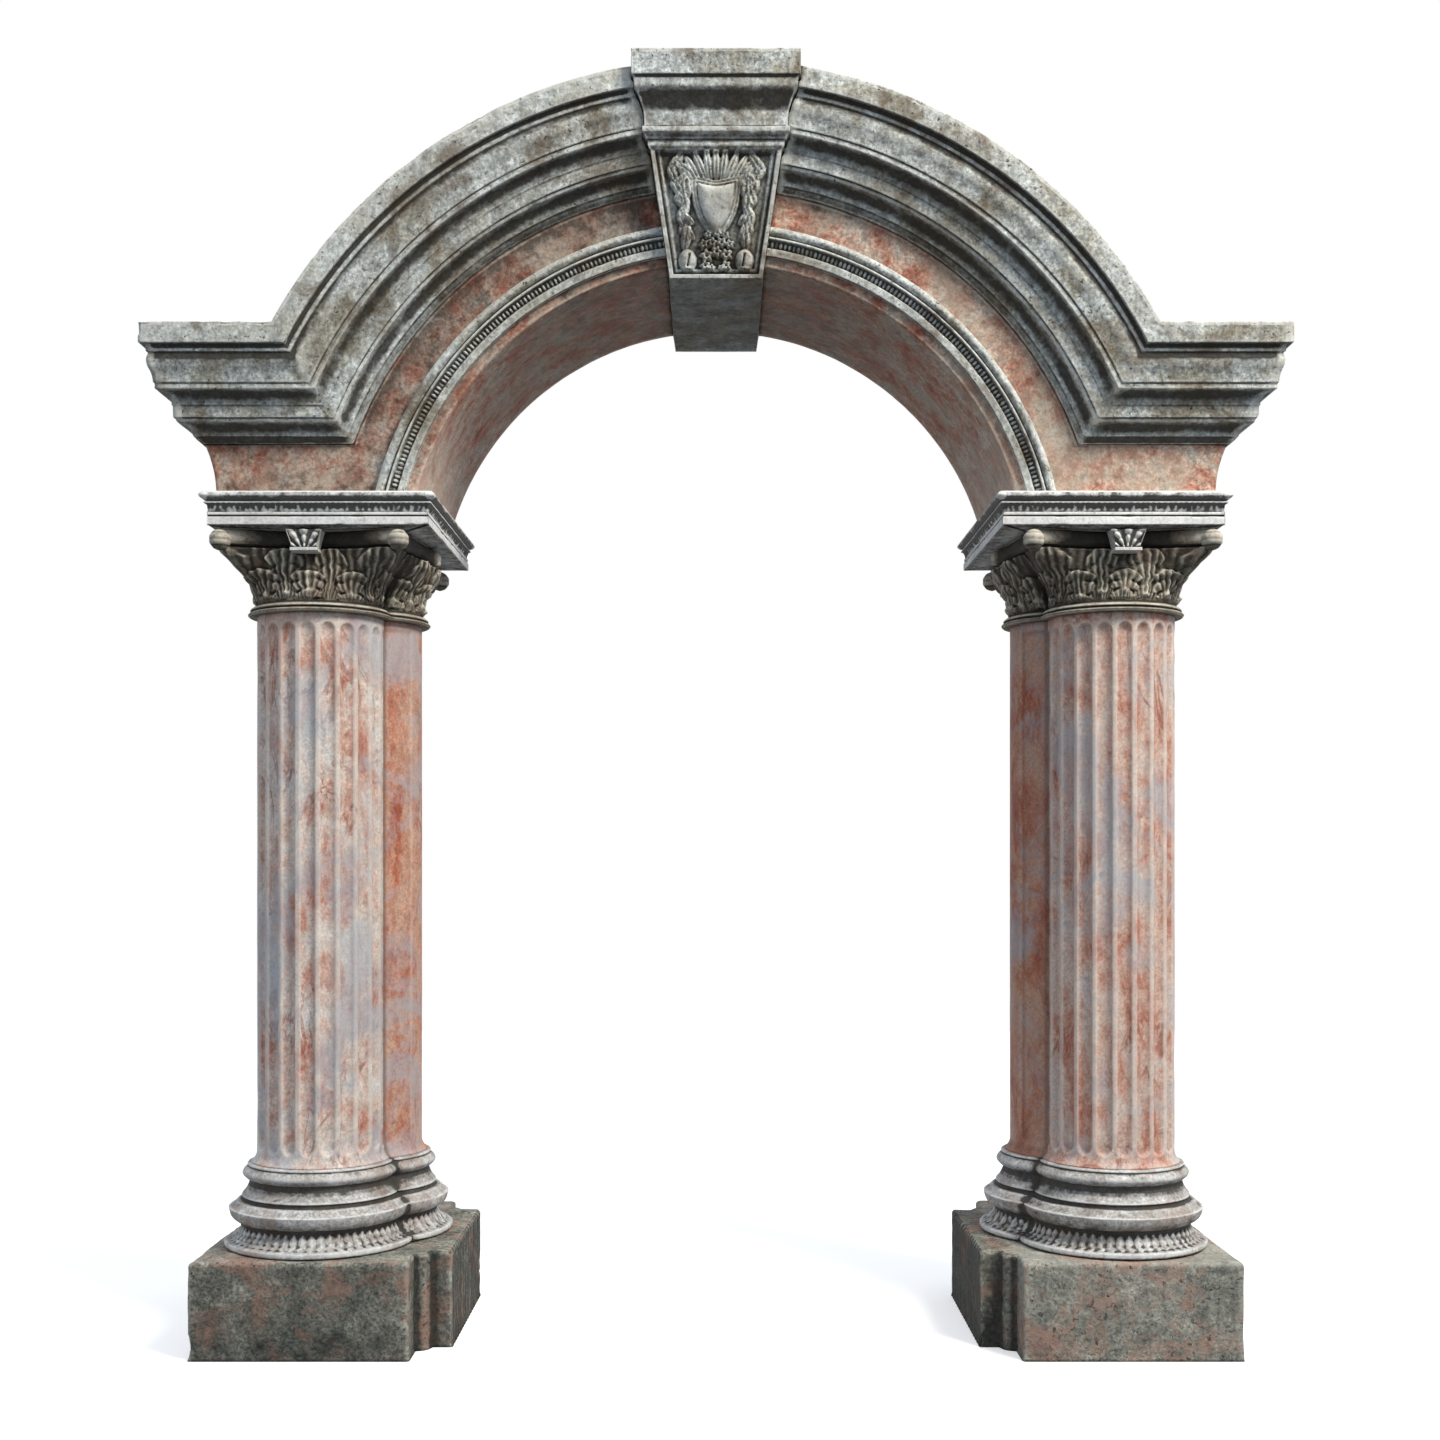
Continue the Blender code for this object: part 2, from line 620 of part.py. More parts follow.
def widest_key(low, high):
    """Largest half width of the keystone between two heights."""
    steps = 12
    return max(key_half_width(low + (high - low) * step / steps) for step in range(steps + 1))


def cornice(name, side, material):
    """Half cornice: level run with returned end, mitre, then the curve."""
    rings = []
    end_ring = []
    mitre_ring = []
    curve = [[] for _ in range(ARC_STEPS)]
    depths = [CORNICE_WIDTH * share for share, _ in CORNICE_PROFILE]
    for place, inward in enumerate(depths):
        rise = CORNICE_REACH * CORNICE_PROFILE[place][1]
        radius = CORNICE_RADIUS - inward
        height = CORNICE_TOP - inward
        deep = WALL_HALF_DEPTH + rise
        end_ring.append((WALL_OUT_HIGH + rise, deep, height))
        turn = math.acos((height - ARCH_CENTRE_Z) / radius)
        mitre_ring.append((radius * math.sin(turn), deep, height))
        above = inward - depths[max(place - 1, 0)]
        below = depths[min(place + 1, len(depths) - 1)] - inward
        x = KEY_FACE_HALF
        for _ in range(12):
            z = ARCH_CENTRE_Z + math.sqrt(radius * radius - x * x)
            x = widest_key(z - below, z + above) + 3 * JOINT
        stop = math.asin(x / radius)
        for index in range(ARC_STEPS):
            angle = turn + (stop - turn) * (index + 1) / ARC_STEPS
            px, pz = on_circle(radius, angle)
            curve[index].append((px, deep, pz))
    rings = [end_ring, mitre_ring] + curve
    closed = []
    for ring in rings:
        front = [(side * x, -deep, z) for x, deep, z in ring]
        back = [(side * x, deep, z) for x, deep, z in reversed(ring)]
        closed.append(front + back)
    points, faces = loft(closed)
    faces = faces[:-2]
    count = len(closed[0])
    last = len(points) - count
    for index in range(count // 2 - 1):
        across = count - 1 - index
        faces.append((index, index + 1, across - 1, across))
        faces.append((last + index, last + index + 1, last + across - 1, last + across))
    return add_object(name, points, faces, material, math.radians(24))


def keystone(name, material):
    """Keystone through the wall, with a cap and a framed panel and shield."""
    levels = [(KEY_BOTTOM, key_half_width(KEY_BOTTOM), KEY_FACE_LOW)]
    for rise, spread, reach in KEY_CAP:
        half = KEY_FACE_HALF + KEY_SPREAD * spread
        levels.append((KEY_FACE_TOP + KEY_CAP_HEIGHT * rise, half, KEY_FACE_HIGH + KEY_CAP_REACH * reach))
    rings = []
    for height, half, rise in levels:
        deep = WALL_HALF_DEPTH + rise
        rings.append(at_height([(-half, -deep), (half, -deep), (half, deep), (-half, deep)], height))
    points, faces = loft(rings)
    body = add_object(name, points, faces, material)
    shape = bmesh.new()
    shape.from_mesh(body.data)
    tall = [face for face in shape.faces if abs(face.normal.y) > 0.8 and face.calc_area() > 0.05]
    for face in tall:
        bmesh.ops.inset_region(shape, faces=[face], thickness=PANEL_BORDER, depth=0.0)
        bmesh.ops.inset_region(shape, faces=[face], thickness=PANEL_FRAME, depth=-PANEL_RELIEF)
    shape.to_mesh(body.data)
    shape.free()
    slope = (KEY_FACE_HIGH - KEY_FACE_LOW) / (KEY_FACE_TOP - KEY_BOTTOM)
    extras = []
    for size_x, size_z, relief, rise in [
        (SHIELD_HALF_WIDTH, SHIELD_HALF_HEIGHT, SHIELD_RELIEF, SHIELD_RISE),
        (FLOWER_RADIUS, FLOWER_RADIUS, SHIELD_RELIEF, FLOWER_RISE),
    ]:
        face_y = -(WALL_HALF_DEPTH + KEY_FACE_LOW + slope * rise - PANEL_RELIEF)
        rings = []
        for reach, share in CARVING_LEVELS:
            ring = []
            for index in range(SHIELD_STEPS):
                angle = 2 * math.pi * index / SHIELD_STEPS
                z = size_z * reach * math.sin(angle)
                ring.append((
                    size_x * reach * math.cos(angle), face_y - relief * share - slope * z,
                    KEY_BOTTOM + rise + z,
                ))
            rings.append(ring)
        points, faces = loft(rings)
        extras.append(add_object("carving", points, faces, material))
    return join_bodies(body, extras, math.radians(30))


def build():
    clear_scene()
    plinth_stone = stone("plinth_stone", (0.115, 0.120, 0.100), 0.9)
    base_stone = stone("base_stone", (0.50, 0.47, 0.44), 0.8)
    marble = stone("pink_marble", (0.55, 0.25, 0.19), 0.6)
    capital_stone = stone("capital_stone", (0.085, 0.078, 0.062), 0.85)
    impost_stone = stone("impost_stone", (0.68, 0.71, 0.72), 0.75)
    grey_stone = stone("grey_stone", (0.42, 0.45, 0.43), 0.85)
    for label, side in [("left", -1), ("right", 1)]:
        plinth("plinth_" + label, side, plinth_stone)
        base("base_" + label, side, base_stone)
        shaft("shaft_" + label, side, marble)
        top = capital("capital_" + label, side, capital_stone)
        blocks = [fleuron("fleuron", side, front, capital_stone) for front in (1, -1)]
        join_bodies(top, blocks, math.radians(38))
        impost("impost_" + label, side, impost_stone)
        arch_wall("arch_" + label, side, marble)
        face_ring("archivolt_front_" + label, side, 1, grey_stone)
        face_ring("archivolt_back_" + label, side, -1, grey_stone)
        cornice("cornice_" + label, side, grey_stone)
    keystone("keystone", grey_stone)


build()
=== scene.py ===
# %% [markdown]
# # A stone portal, cut by hand
# The object is a free-standing round arch made of several kinds of stone. The solid model gives every
# stone its size and place. Here each stone gets the surface that a mason and three hundred years of
# weather gave it: mouldings, flutes, leaves, beads, chips, soot and rain streaks. Its colour also
# carries painted shade in hollows and under mouldings, and painted highlights on edges.

# %% Load the solid model
import math
import bpy
import numpy as np
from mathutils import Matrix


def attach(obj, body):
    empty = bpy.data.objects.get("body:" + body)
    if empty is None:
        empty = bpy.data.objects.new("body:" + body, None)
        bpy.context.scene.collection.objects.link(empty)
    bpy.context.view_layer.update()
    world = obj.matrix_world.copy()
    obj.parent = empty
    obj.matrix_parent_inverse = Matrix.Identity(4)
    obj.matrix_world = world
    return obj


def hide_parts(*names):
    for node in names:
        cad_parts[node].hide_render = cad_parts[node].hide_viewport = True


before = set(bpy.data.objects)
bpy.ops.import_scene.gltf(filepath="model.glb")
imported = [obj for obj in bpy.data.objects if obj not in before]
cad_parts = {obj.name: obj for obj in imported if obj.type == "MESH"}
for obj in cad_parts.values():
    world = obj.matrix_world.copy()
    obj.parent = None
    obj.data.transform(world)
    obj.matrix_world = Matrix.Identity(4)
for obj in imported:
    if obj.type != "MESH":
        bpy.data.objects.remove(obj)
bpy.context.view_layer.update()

# %% [markdown]
# Every colour below is written as the sRGB hex value that an eye would pick. Blender's shaders work in
# linear light, so one function turns hex into linear. One more function adds any shader node with its
# settings and its links.

# %% Colour and node helpers
def linear(code):
    """Hex sRGB colour to linear RGBA: the sRGB curve undone channel by channel."""
    srgb = np.array([int(code[i:i + 2], 16) for i in (1, 3, 5)]) / 255
    low = srgb / 12.92
    high = ((srgb + 0.055) / 1.055) ** 2.4
    return (*np.where(srgb <= 0.04045, low, high).tolist(), 1.0)


def add_node(tree, kind, settings, links, output=0):
    """Add a node, set its properties or input values, link its inputs, and return one output."""
    node = tree.nodes.new("ShaderNode" + kind)
    for key, value in settings.items():
        if isinstance(key, int) or key in node.inputs:
            node.inputs[key].default_value = value
        else:
            setattr(node, key, value)
    for key, socket in links.items():
        tree.links.new(socket, node.inputs[key])
    return node.outputs[output]


# %% [markdown]
# Stone is never perfectly smooth. The noise below gives soft random heights in space, so a dent that
# runs off one face goes on round the corner. It is the classic value noise: random numbers on a cubic
# lattice, blended between the eight corners round each point. The pattern size is in metres.

# %% Soft random heights in space
def lumps(points, size, seed):
    """Value noise from -1 to 1: hashed lattice numbers blended by a smooth step on each axis."""
    place = points / size
    cell = np.floor(place).astype(np.int64)
    part = place - cell
    part = part * part * (3 - 2 * part)
    total = np.zeros(points.shape[:-1])
    for corner in np.ndindex(2, 2, 2):
        near = cell + np.array(corner)
        mixed = near[..., 0] * 73856093 ^ near[..., 1] * 19349663 ^ near[..., 2] * 83492791 ^ seed * 9176213
        mixed = ((mixed ^ (mixed >> 13)) * 1274126177) & 0x7FFFFFFF
        value = ((mixed ^ (mixed >> 15)) & 0xFFFF) / 32767.5 - 1
        total += value * np.prod(np.where(corner, part, 1 - part), axis=-1)
    return total


print("noise sample:", lumps(np.zeros((1, 3)) + 0.3, 0.1, 1))

# %% [markdown]
# All the carved pieces are grids: rows of points that follow a moulding, columns that follow the wall,
# the circle or the column. From a grid it is easy to work out which way each point faces and whether
# it lies in a hollow or on an edge. Hollows get soot and painted shade, edges wear pale and get painted
# highlights, so both are kept on the mesh as attributes that the materials read.

# %% Grid helpers: facing direction, hollows, and the mesh itself
def facing(grid):
    """Unit normals: the cross product of the step along a row, which closes on itself, and up a column."""
    around = np.roll(grid, -1, 1) - np.roll(grid, 1, 1)
    normal = np.cross(around, np.gradient(grid, axis=0))
    return normal / np.maximum(np.linalg.norm(normal, axis=-1, keepdims=True), 1e-12)


def blurred(values, reach):
    """Mean over a window of 2 * reach + 1 grid points both ways, by running sums."""
    result = values
    for axis, mode in ((0, "edge"), (1, "wrap")):
        pad = [(0, 0)] * values.ndim
        pad[axis] = (reach + 1, reach)
        total = np.cumsum(np.pad(result, pad, mode=mode), axis=axis)
        count = values.shape[axis]
        high = np.take(total, np.arange(2 * reach + 1, 2 * reach + 1 + count), axis=axis)
        low = np.take(total, np.arange(count), axis=axis)
        result = (high - low) / (2 * reach + 1)
    return result


CLOSE_COLUMNS = 0.011


def hollow_of(grid, normal, reach):
    """How far the blurred surface stands in front of the real one, in metres: more in hollows.

    Where the columns lie further apart than CLOSE_COLUMNS the blur reaches too far round, and counts less.
    """
    apart = np.linalg.norm(np.roll(grid, -1, 1) - grid, axis=-1)
    fade = np.clip(CLOSE_COLUMNS / np.maximum(apart, 1e-6), 0, 1) ** 2
    return fade * np.sum((blurred(grid, reach) - grid) * normal, axis=-1)


def make_mesh(name, grid, material, values):
    """Quads between neighbouring rows and columns, with a flat fan over each open end."""
    rows, columns = grid.shape[:2]
    here = np.arange(rows * columns).reshape(rows, columns)
    after = np.roll(here, -1, 1)
    quads = np.stack([here[:-1], after[:-1], after[1:], here[1:]], -1).reshape(-1, 4)
    low = np.stack([after[0], here[0], np.full(columns, here.size)], -1)
    high = np.stack([here[-1], after[-1], np.full(columns, here.size + 1)], -1)
    points = np.concatenate([grid.reshape(-1, 3), [grid[0].mean(0), grid[-1].mean(0)]])
    loops = np.concatenate([quads.ravel(), low.ravel(), high.ravel()])
    sizes = np.repeat([4, 3], [len(quads), 2 * columns])
    mesh = bpy.data.meshes.new(name)
    mesh.vertices.add(len(points))
    mesh.vertices.foreach_set("co", points.ravel())
    mesh.loops.add(len(loops))
    mesh.loops.foreach_set("vertex_index", loops.astype(np.int32))
    mesh.polygons.add(len(sizes))
    starts = np.concatenate([[0], np.cumsum(sizes)[:-1]])
    mesh.polygons.foreach_set("loop_start", starts.astype(np.int32))
    mesh.polygons.foreach_set("use_smooth", np.arange(len(sizes)) < len(quads))
    mesh.update(calc_edges=True)
    mesh.validate()
    for key, array in values.items():
        layer = mesh.attributes.new(key, "FLOAT", "POINT")
        flat = np.zeros(len(points))
        flat[:rows * columns] = np.asarray(array).ravel()
        layer.data.foreach_set("value", flat)
    mesh.materials.append(material)
    piece = bpy.data.objects.new(name, mesh)
    bpy.context.scene.collection.objects.link(piece)
    return piece


pieces = {}


def stone_piece(name, grid, material, seed, shade, rough=0.0012, chips=0.004, reach=3, warmth=None,
                replaces=None, hollow_scale=0.004, margin=2, underside_shade=0.7):
    """Weather a grid and make its mesh.

    The surface only ever loses stone: soft lumps lower it by up to rough, and along its edges, where
    the hollow value is negative, chips take up to the given depth where a coarser noise is high. The
    first and last rows, as many as margin says, keep their place. Faces that look down get painted
    shade of up to underside_shade on top of the given shade, and fresh chips come out paler.
    """
    normal = facing(grid)
    hollow = hollow_of(grid, normal, reach)
    edge = np.clip(-hollow / 0.003, 0, 1)
    chipped = np.clip(lumps(grid, 0.05, seed) + 0.6 * lumps(grid, 0.018, seed + 1) - 0.42, 0, 1) * edge
    worn = rough * (0.5 + 0.32 * lumps(grid, 0.09, seed + 2) + 0.18 * lumps(grid, 0.024, seed + 3))
    loss = (worn + chips * chipped)[..., None]
    if margin:
        loss[:margin] = 0
        loss[-margin:] = 0
    grid = grid - normal * loss
    # Painted shade on faces that look down, and paler fresh chips.
    shade = shade + underside_shade * np.clip(-normal[..., 2] - 0.25, 0, 1) - 0.25 * chipped
    values = {"hollow": hollow / hollow_scale, "shade": shade}
    if warmth is not None:
        values["warmth"] = warmth
    piece = make_mesh(name, grid, material, values)
    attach(piece, "root")
    if replaces:
        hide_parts(replaces)
    pieces[name] = piece
    print(name, "faces:", len(piece.data.polygons))
    return piece


# %% [markdown]
# A moulding is drawn as a mason draws it: a list of corners, with a bulge where the line between two
# corners is an arc. The line is then walked at even steps of a few millimetres. Because the steps do
# not hit the corners exactly, every arris comes out slightly blunt, as it is on old stone.

# %% Mouldings as traced lines
def walked(line):
    """Distance along a line of points, from its first point to each."""
    return np.concatenate([[0], np.cumsum(np.linalg.norm(np.diff(line, axis=0), axis=1))])


def traced(corners, step):
    """Points along a line of corners (a, b, bulge), where the bulge is an arc's height by its chord."""
    line = [np.array(corners[0][:2], float)[None]]
    for start, (a, b, bulge) in zip(corners, corners[1:]):
        start = np.array(start[:2], float)
        chord = np.array([a, b], float) - start
        share = np.linspace(0, 1, 25)[1:, None]
        across = np.array([-chord[1], chord[0]])
        line.append(start + chord * share + across * bulge * np.sin(np.pi * share))
    line = np.concatenate(line)
    gone = walked(line)
    count = max(4, int(round(gone[-1] / step)))
    even = np.linspace(0, gone[-1], count + 1)
    return np.stack([np.interp(even, gone, line[:, 0]), np.interp(even, gone, line[:, 1])], 1)


# %% [markdown]
# The camera stands level in front of the portal, a little below half its height, and its lens is
# shifted up as an architect's camera is, so that the columns stay upright. The lens follows from the
# distance: the nearest plinth faces are 4.88 metres away.

# %% Camera
scene = bpy.context.scene
camera_data = bpy.data.cameras.new("camera")
camera_data.lens = 44.4
camera_data.sensor_width = 36
camera_data.shift_x = 0.0028
camera_data.shift_y = 0.0972
camera_data.clip_end = 200
camera = bpy.data.objects.new("camera", camera_data)
camera.location = (0, -5.338, 1.3805)
camera.rotation_euler = (math.radians(90), 0, 0)
scene.collection.objects.link(camera)
scene.camera = camera

# %% [markdown]
# The portal stands in a bright, even studio: a pale floor, a white surround, and one large soft light
# high on the right. Light that would come from below is kept weak, so the undersides of the mouldings
# go dark, which is what makes a cornice read. The camera sees the surround as plain white.

# %% Floor, surround and light
floor_mesh = bpy.data.meshes.new("floor")
floor_mesh.from_pydata([(-9, -9, 0), (9, -9, 0), (9, 9, 0), (-9, 9, 0)], [], [(0, 1, 2, 3)])
floor = bpy.data.objects.new("floor", floor_mesh)
floor.visible_diffuse = False
scene.collection.objects.link(floor)
paper = bpy.data.materials.new("white_paper")
paper.use_nodes = True
paper_shader = paper.node_tree.nodes["Principled BSDF"]
paper_shader.inputs["Base Color"].default_value = linear("#FDFDFC")
paper_shader.inputs["Roughness"].default_value = 0.95
paper_shader.inputs["Emission Color"].default_value = linear("#FFFFFF")
paper_shader.inputs["Emission Strength"].default_value = 0.42
floor_mesh.materials.append(paper)

world = bpy.data.worlds.new("studio")
scene.world = world
world.use_nodes = True
sky = world.node_tree
direction = add_node(sky, "TexCoord", {}, {}, "Generated")
rise = add_node(sky, "SeparateXYZ", {}, {0: direction}, "Z")
daylight = add_node(sky, "MapRange", {"From Min": -0.10, "From Max": 0.25, "To Min": 0.14, "To Max": 0.78},
                    {"Value": rise})
seen = add_node(sky, "LightPath", {}, {}, "Is Camera Ray")
strength = add_node(sky, "Mix", {"data_type": "FLOAT", 3: 1.0}, {0: seen, 2: daylight})
tint = add_node(sky, "Mix", {"data_type": "RGBA", 6: linear("#EAF1FB"), 7: linear("#FFFFFF")}, {0: seen}, 2)
surround = sky.nodes["Background"]
sky.links.new(strength, surround.inputs["Strength"])
sky.links.new(tint, surround.inputs["Color"])
scene.view_settings.view_transform = "Standard"


def soft_light(name, aim, turn, rise, distance, size, power, colour):
    """Square area light: turned about the aim point from the camera's side, raised, and facing it."""
    data = bpy.data.lights.new(name, "AREA")
    data.shape = "SQUARE"
    data.size = size
    data.energy = power
    data.color = linear(colour)[:3]
    light = bpy.data.objects.new(name, data)
    flat = distance * math.cos(rise)
    light.location = (aim[0] + flat * math.sin(turn), aim[1] - flat * math.cos(turn),
                      aim[2] + distance * math.sin(rise))
    light.rotation_euler = (math.pi / 2 - rise, 0, turn)
    scene.collection.objects.link(light)
    return light


key = soft_light("key", (0, 0, 1.9), math.radians(46), math.radians(44), 9.0, 2.6, 760, "#FFF6EA")
print("key light at", tuple(round(value, 2) for value in key.location))

# %% [markdown]
# ## The stones as materials
# All the stones age in the same way, so one recipe serves them all, with each stone's own colours:
# clouds in the body, grit, small dark pits, brown stains, streaks where rain runs, pale worn edges
# with painted highlights, and soot in the hollows with painted shade. The hollows and edges come from
# the attributes that the grids carry, so the soot sits where a brush or the rain would not reach it;
# the shade attribute paints shade into the dark layer and, where negative, highlights into the pale
# layer. What differs is colours, sizes and amounts.
# Sizes are in metres. Real grit is about 1 mm and real pits 3 mm, too fine to show in a picture of the
# whole portal, so grit is drawn at 8 to 11 mm and pits at 13 mm.

# %% The weathered stone recipe
def weathered_stone(name, body, stops, soot_and_shade, pale, cloud=0.30, stretch=(1.0, 1.0, 1.0), lean=0.0, grit=0.010,
                    grit_depth=0.30, pits=0.5, stain="#5E4E3C", stain_amount=0.5, stain_start=0.53,
                    stain_size=0.30, streaks=0.35, soot_and_shade_amount=0.9, soot_and_shade_start=0.15, soot_and_shade_span=0.5,
                    edge_amount=0.7, patch_share=0.9, roughness=0.8, bump=0.4, veins=None, vein_amount=0.0):
    """Clouded body, veins, grit, worn edges with painted highlights, stains, then soot with painted shade,
    rain streaks and pits.

    Noises are listed by size in metres, detail, roughness, twist and the place they read. The rules
    bend and join them: RANGE turns one stretch of values into another, the rest are arithmetic. Last,
    the layers go over the body colour, each by its share.
    """
    material = bpy.data.materials.new(name)
    material.use_nodes = True
    tree = material.node_tree
    shader = tree.nodes["Principled BSDF"]
    part = {"place": add_node(tree, "TexCoord", {}, {}, "Object")}
    for made, settings in (("leaning", {"Rotation": (0.0, lean, 0.0), "Scale": stretch}),
                           ("drawn out", {"Scale": (1.0, 1.0, 0.10)})):
        part[made] = add_node(tree, "Mapping", settings, {"Vector": part["place"]})
    for made in ("hollow", "shade", "warmth"):
        part[made] = add_node(tree, "Attribute", {"attribute_name": made}, {}, "Fac")
    noises = [
        ("clouds", cloud, 10, 0.74, 0.35, "leaning"), ("grain", grit, 3, 0.70, 0, "place"),
        ("coarse", grit * 3.6, 5, 0.74, 0, "place"), ("patch", 0.075, 7, 0.72, 0, "place"),
        ("wide", stain_size, 9, 0.74, 0.8, "place"), ("runs", 0.035, 6, 0.72, 0, "drawn out"),
        ("holes", 0.013, 5, 0.70, 0, "place")]
    speckle = (0.38, 0.62, 1 - grit_depth, 1 + 0.8 * grit_depth)
    rules = [
        ("fine speckle", "RANGE", "grain", *speckle), ("broad speckle", "RANGE", "coarse", *speckle),
        # Pale layer: worn edges where the hollow value is negative, painted highlights where shade is
        # negative.
        ("worn_edge_and_highlight", "MULTIPLY", "shade", 0.7), ("worn_edge_and_highlight", "ADD", "hollow", "worn_edge_and_highlight"),
        ("worn_edge_and_highlight", "RANGE", "worn_edge_and_highlight", -0.06, -0.62, 0, 1), ("rubbed", "RANGE", "patch", 0.34, 0.56, 0.45, 1),
        ("worn", "MULTIPLY", "worn_edge_and_highlight", "rubbed"), ("worn", "MULTIPLY", "worn", edge_amount),
        ("stained", "MULTIPLY", "coarse", 0.10), ("stained", "ADD", "wide", "stained"),
        ("stained", "RANGE", "stained", stain_start + 0.05, stain_start + 0.15, 0, stain_amount),
        ("rain", "RANGE", "runs", 0.50, 0.70, 0, streaks), ("holes", "RANGE", "holes", 0.575, 0.64, 0, 1),
        ("pitted", "RANGE", "patch", 0.42, 0.60, 0.25, 1), ("pitted", "MULTIPLY", "holes", "pitted"),
        ("pitted", "MULTIPLY", "pitted", pits),
        ("uneven", "RANGE", "patch", 0.25, 0.75, -0.5 * patch_share, 0.5 * patch_share),
        ("specks", "RANGE", "coarse", 0.3, 0.7, -0.35, 0.35), ("uneven", "ADD", "uneven", "specks"),
        # Dark layer: soot in the hollows and painted shade where the shade attribute is positive.
        ("soot_and_shade_share", "ADD", "hollow", "shade"), ("soot_and_shade_share", "ADD", "soot_and_shade_share", "uneven"),
        ("soot_and_shade_share", "RANGE", "soot_and_shade_share", soot_and_shade_start, soot_and_shade_start + soot_and_shade_span, 0, soot_and_shade_amount),
        ("dark", "MAXIMUM", "soot_and_shade_share", "rain"), ("dark", "MAXIMUM", "dark", "pitted"),
        ("height", "MULTIPLY", "grain", 0.45), ("height", "ADD", "height", "coarse"),
        ("sunk", "MULTIPLY", "pitted", 0.8), ("height", "SUBTRACT", "height", "sunk")]
    layers = [
        ("MULTIPLY", "warmth", "#EFC9B6"), ("MULTIPLY", 1.0, "fine speckle"),
        ("MULTIPLY", 1.0, "broad speckle"), ("MIX", "worn", pale), ("MIX", "stained", stain),
        ("MIX", "dark", soot_and_shade)]
    if veins:
        noises += [
            ("folds", cloud * 1.7, 5, 0.60, 1.4, "leaning"), ("veined", cloud * 2.5, 3, 0.65, 0, "place")]
        rules += [
            ("ridge", "SUBTRACT", "folds", 0.5), ("ridge", "ABSOLUTE", "ridge", 0.0),
            ("ridge", "RANGE", "ridge", 0.030, 0.004, 0, 1), ("veined", "RANGE", "veined", 0.46, 0.62, 0, 1),
            ("vein", "MULTIPLY", "ridge", "veined"), ("vein", "MULTIPLY", "vein", vein_amount)]
        layers.insert(1, ("MIX", "vein", veins))
    for made, size, detail, rough, twist, place in noises:
        settings = {"Scale": 1 / size, "Detail": detail, "Roughness": rough, "Distortion": twist}
        part[made] = add_node(tree, "TexNoise", settings, {"Vector": part[place]})
    for made, operation, first, *rest in rules:
        if operation == "RANGE":
            settings = dict(zip(("From Min", "From Max", "To Min", "To Max"), rest))
            part[made] = add_node(tree, "MapRange", settings, {"Value": part[first]})
            continue
        settings, links = {"operation": operation}, {0: part[first]}
        if rest[0] in part:
            links[1] = part[rest[0]]
        else:
            settings[1] = rest[0]
        part[made] = add_node(tree, "Math", settings, links)
    colour = add_node(tree, "ValToRGB", {}, {"Fac": part["clouds"]})
    elements = colour.node.color_ramp.elements
    elements[0].position, elements[0].color = stops[0], linear(body[0])
    elements[1].position, elements[1].color = stops[-1], linear(body[-1])
    for stop, code in zip(stops[1:-1], body[1:-1]):
        elements.new(stop).color = linear(code)
    for blend, share, over in layers:
        settings, links = {"data_type": "RGBA", "blend_type": blend}, {6: colour}
        if share in part:
            links[0] = part[share]
        else:
            settings[0] = share
        if over in part:
            links[7] = part[over]
        else:
            settings[7] = linear(over)
        colour = add_node(tree, "Mix", settings, links, 2)
    relief = add_node(tree, "Bump", {"Strength": bump, "Distance": 0.006}, {"Height": part["height"]})
    tree.links.new(colour, shader.inputs["Base Color"])
    tree.links.new(relief, shader.inputs["Normal"])
    shader.inputs["Roughness"].default_value = roughness
    shader.inputs["IOR"].default_value = 1.5
    shader.inputs["Specular IOR Level"].default_value = 0.3
    return material


# %% [markdown]
# The stones by name. The shafts and the wall of the arch are a breccia marble: cream and bluish grey,
# with salmon mottles that run up the shaft at a slant. The cornice, keystone and face rings are a grey
# limestone under soot. The capitals are the same limestone, nearly black. The imposts are almost
# white, the bases pale grey, the plinths a dark greenish stone.

# %% One material for each stone
pink_marble = weathered_stone(
    "pink_breccia_marble", ("#B2705C", "#C99785", "#D6B4A5", "#DDCBBF", "#E1D8D0", "#D2D6D9"),
    (0.34, 0.41, 0.46, 0.51, 0.57, 0.66), "#54403A", "#F0E8DF", cloud=0.100, stretch=(1.0, 1.0, 0.5),
    lean=0.30, grit=0.008, grit_depth=0.18, pits=0.25, stain="#B4BBC4", stain_amount=0.60, stain_start=0.47,
    stain_size=0.40, streaks=0.10, soot_and_shade_amount=0.60, soot_and_shade_start=0.30, soot_and_shade_span=0.8, edge_amount=0.55,
    patch_share=0.35, roughness=0.55, bump=0.15, veins="#96503C", vein_amount=0.7)
wall_marble = weathered_stone(
    "pink_wall_marble", ("#94503E", "#B67C68", "#C4A28F", "#CDBAAA", "#C9C5BC"),
    (0.36, 0.43, 0.49, 0.55, 0.65), "#332A24", "#E0CFC2", cloud=0.11, grit=0.010, grit_depth=0.34,
    pits=0.45, stain="#B9AD9C", stain_amount=0.5, stain_start=0.47, stain_size=0.33, streaks=0.20,
    soot_and_shade_amount=0.85, soot_and_shade_start=0.30, edge_amount=0.5, patch_share=0.6, roughness=0.7, bump=0.3)
grey_limestone = weathered_stone(
    "sooted_grey_limestone", ("#8C8575", "#B0B0A5", "#C6CDCB", "#D4DDDE"), (0.36, 0.45, 0.53, 0.64),
    "#27231D", "#E3E6E0", cloud=0.20, grit=0.011, grit_depth=0.40, pits=0.95, stain="#6F604C",
    stain_amount=0.75, stain_start=0.52, stain_size=0.24, streaks=0.35, soot_and_shade_amount=0.93, soot_and_shade_start=0.20,
    soot_and_shade_span=0.75, edge_amount=0.8, patch_share=0.75, roughness=0.8, bump=0.45)
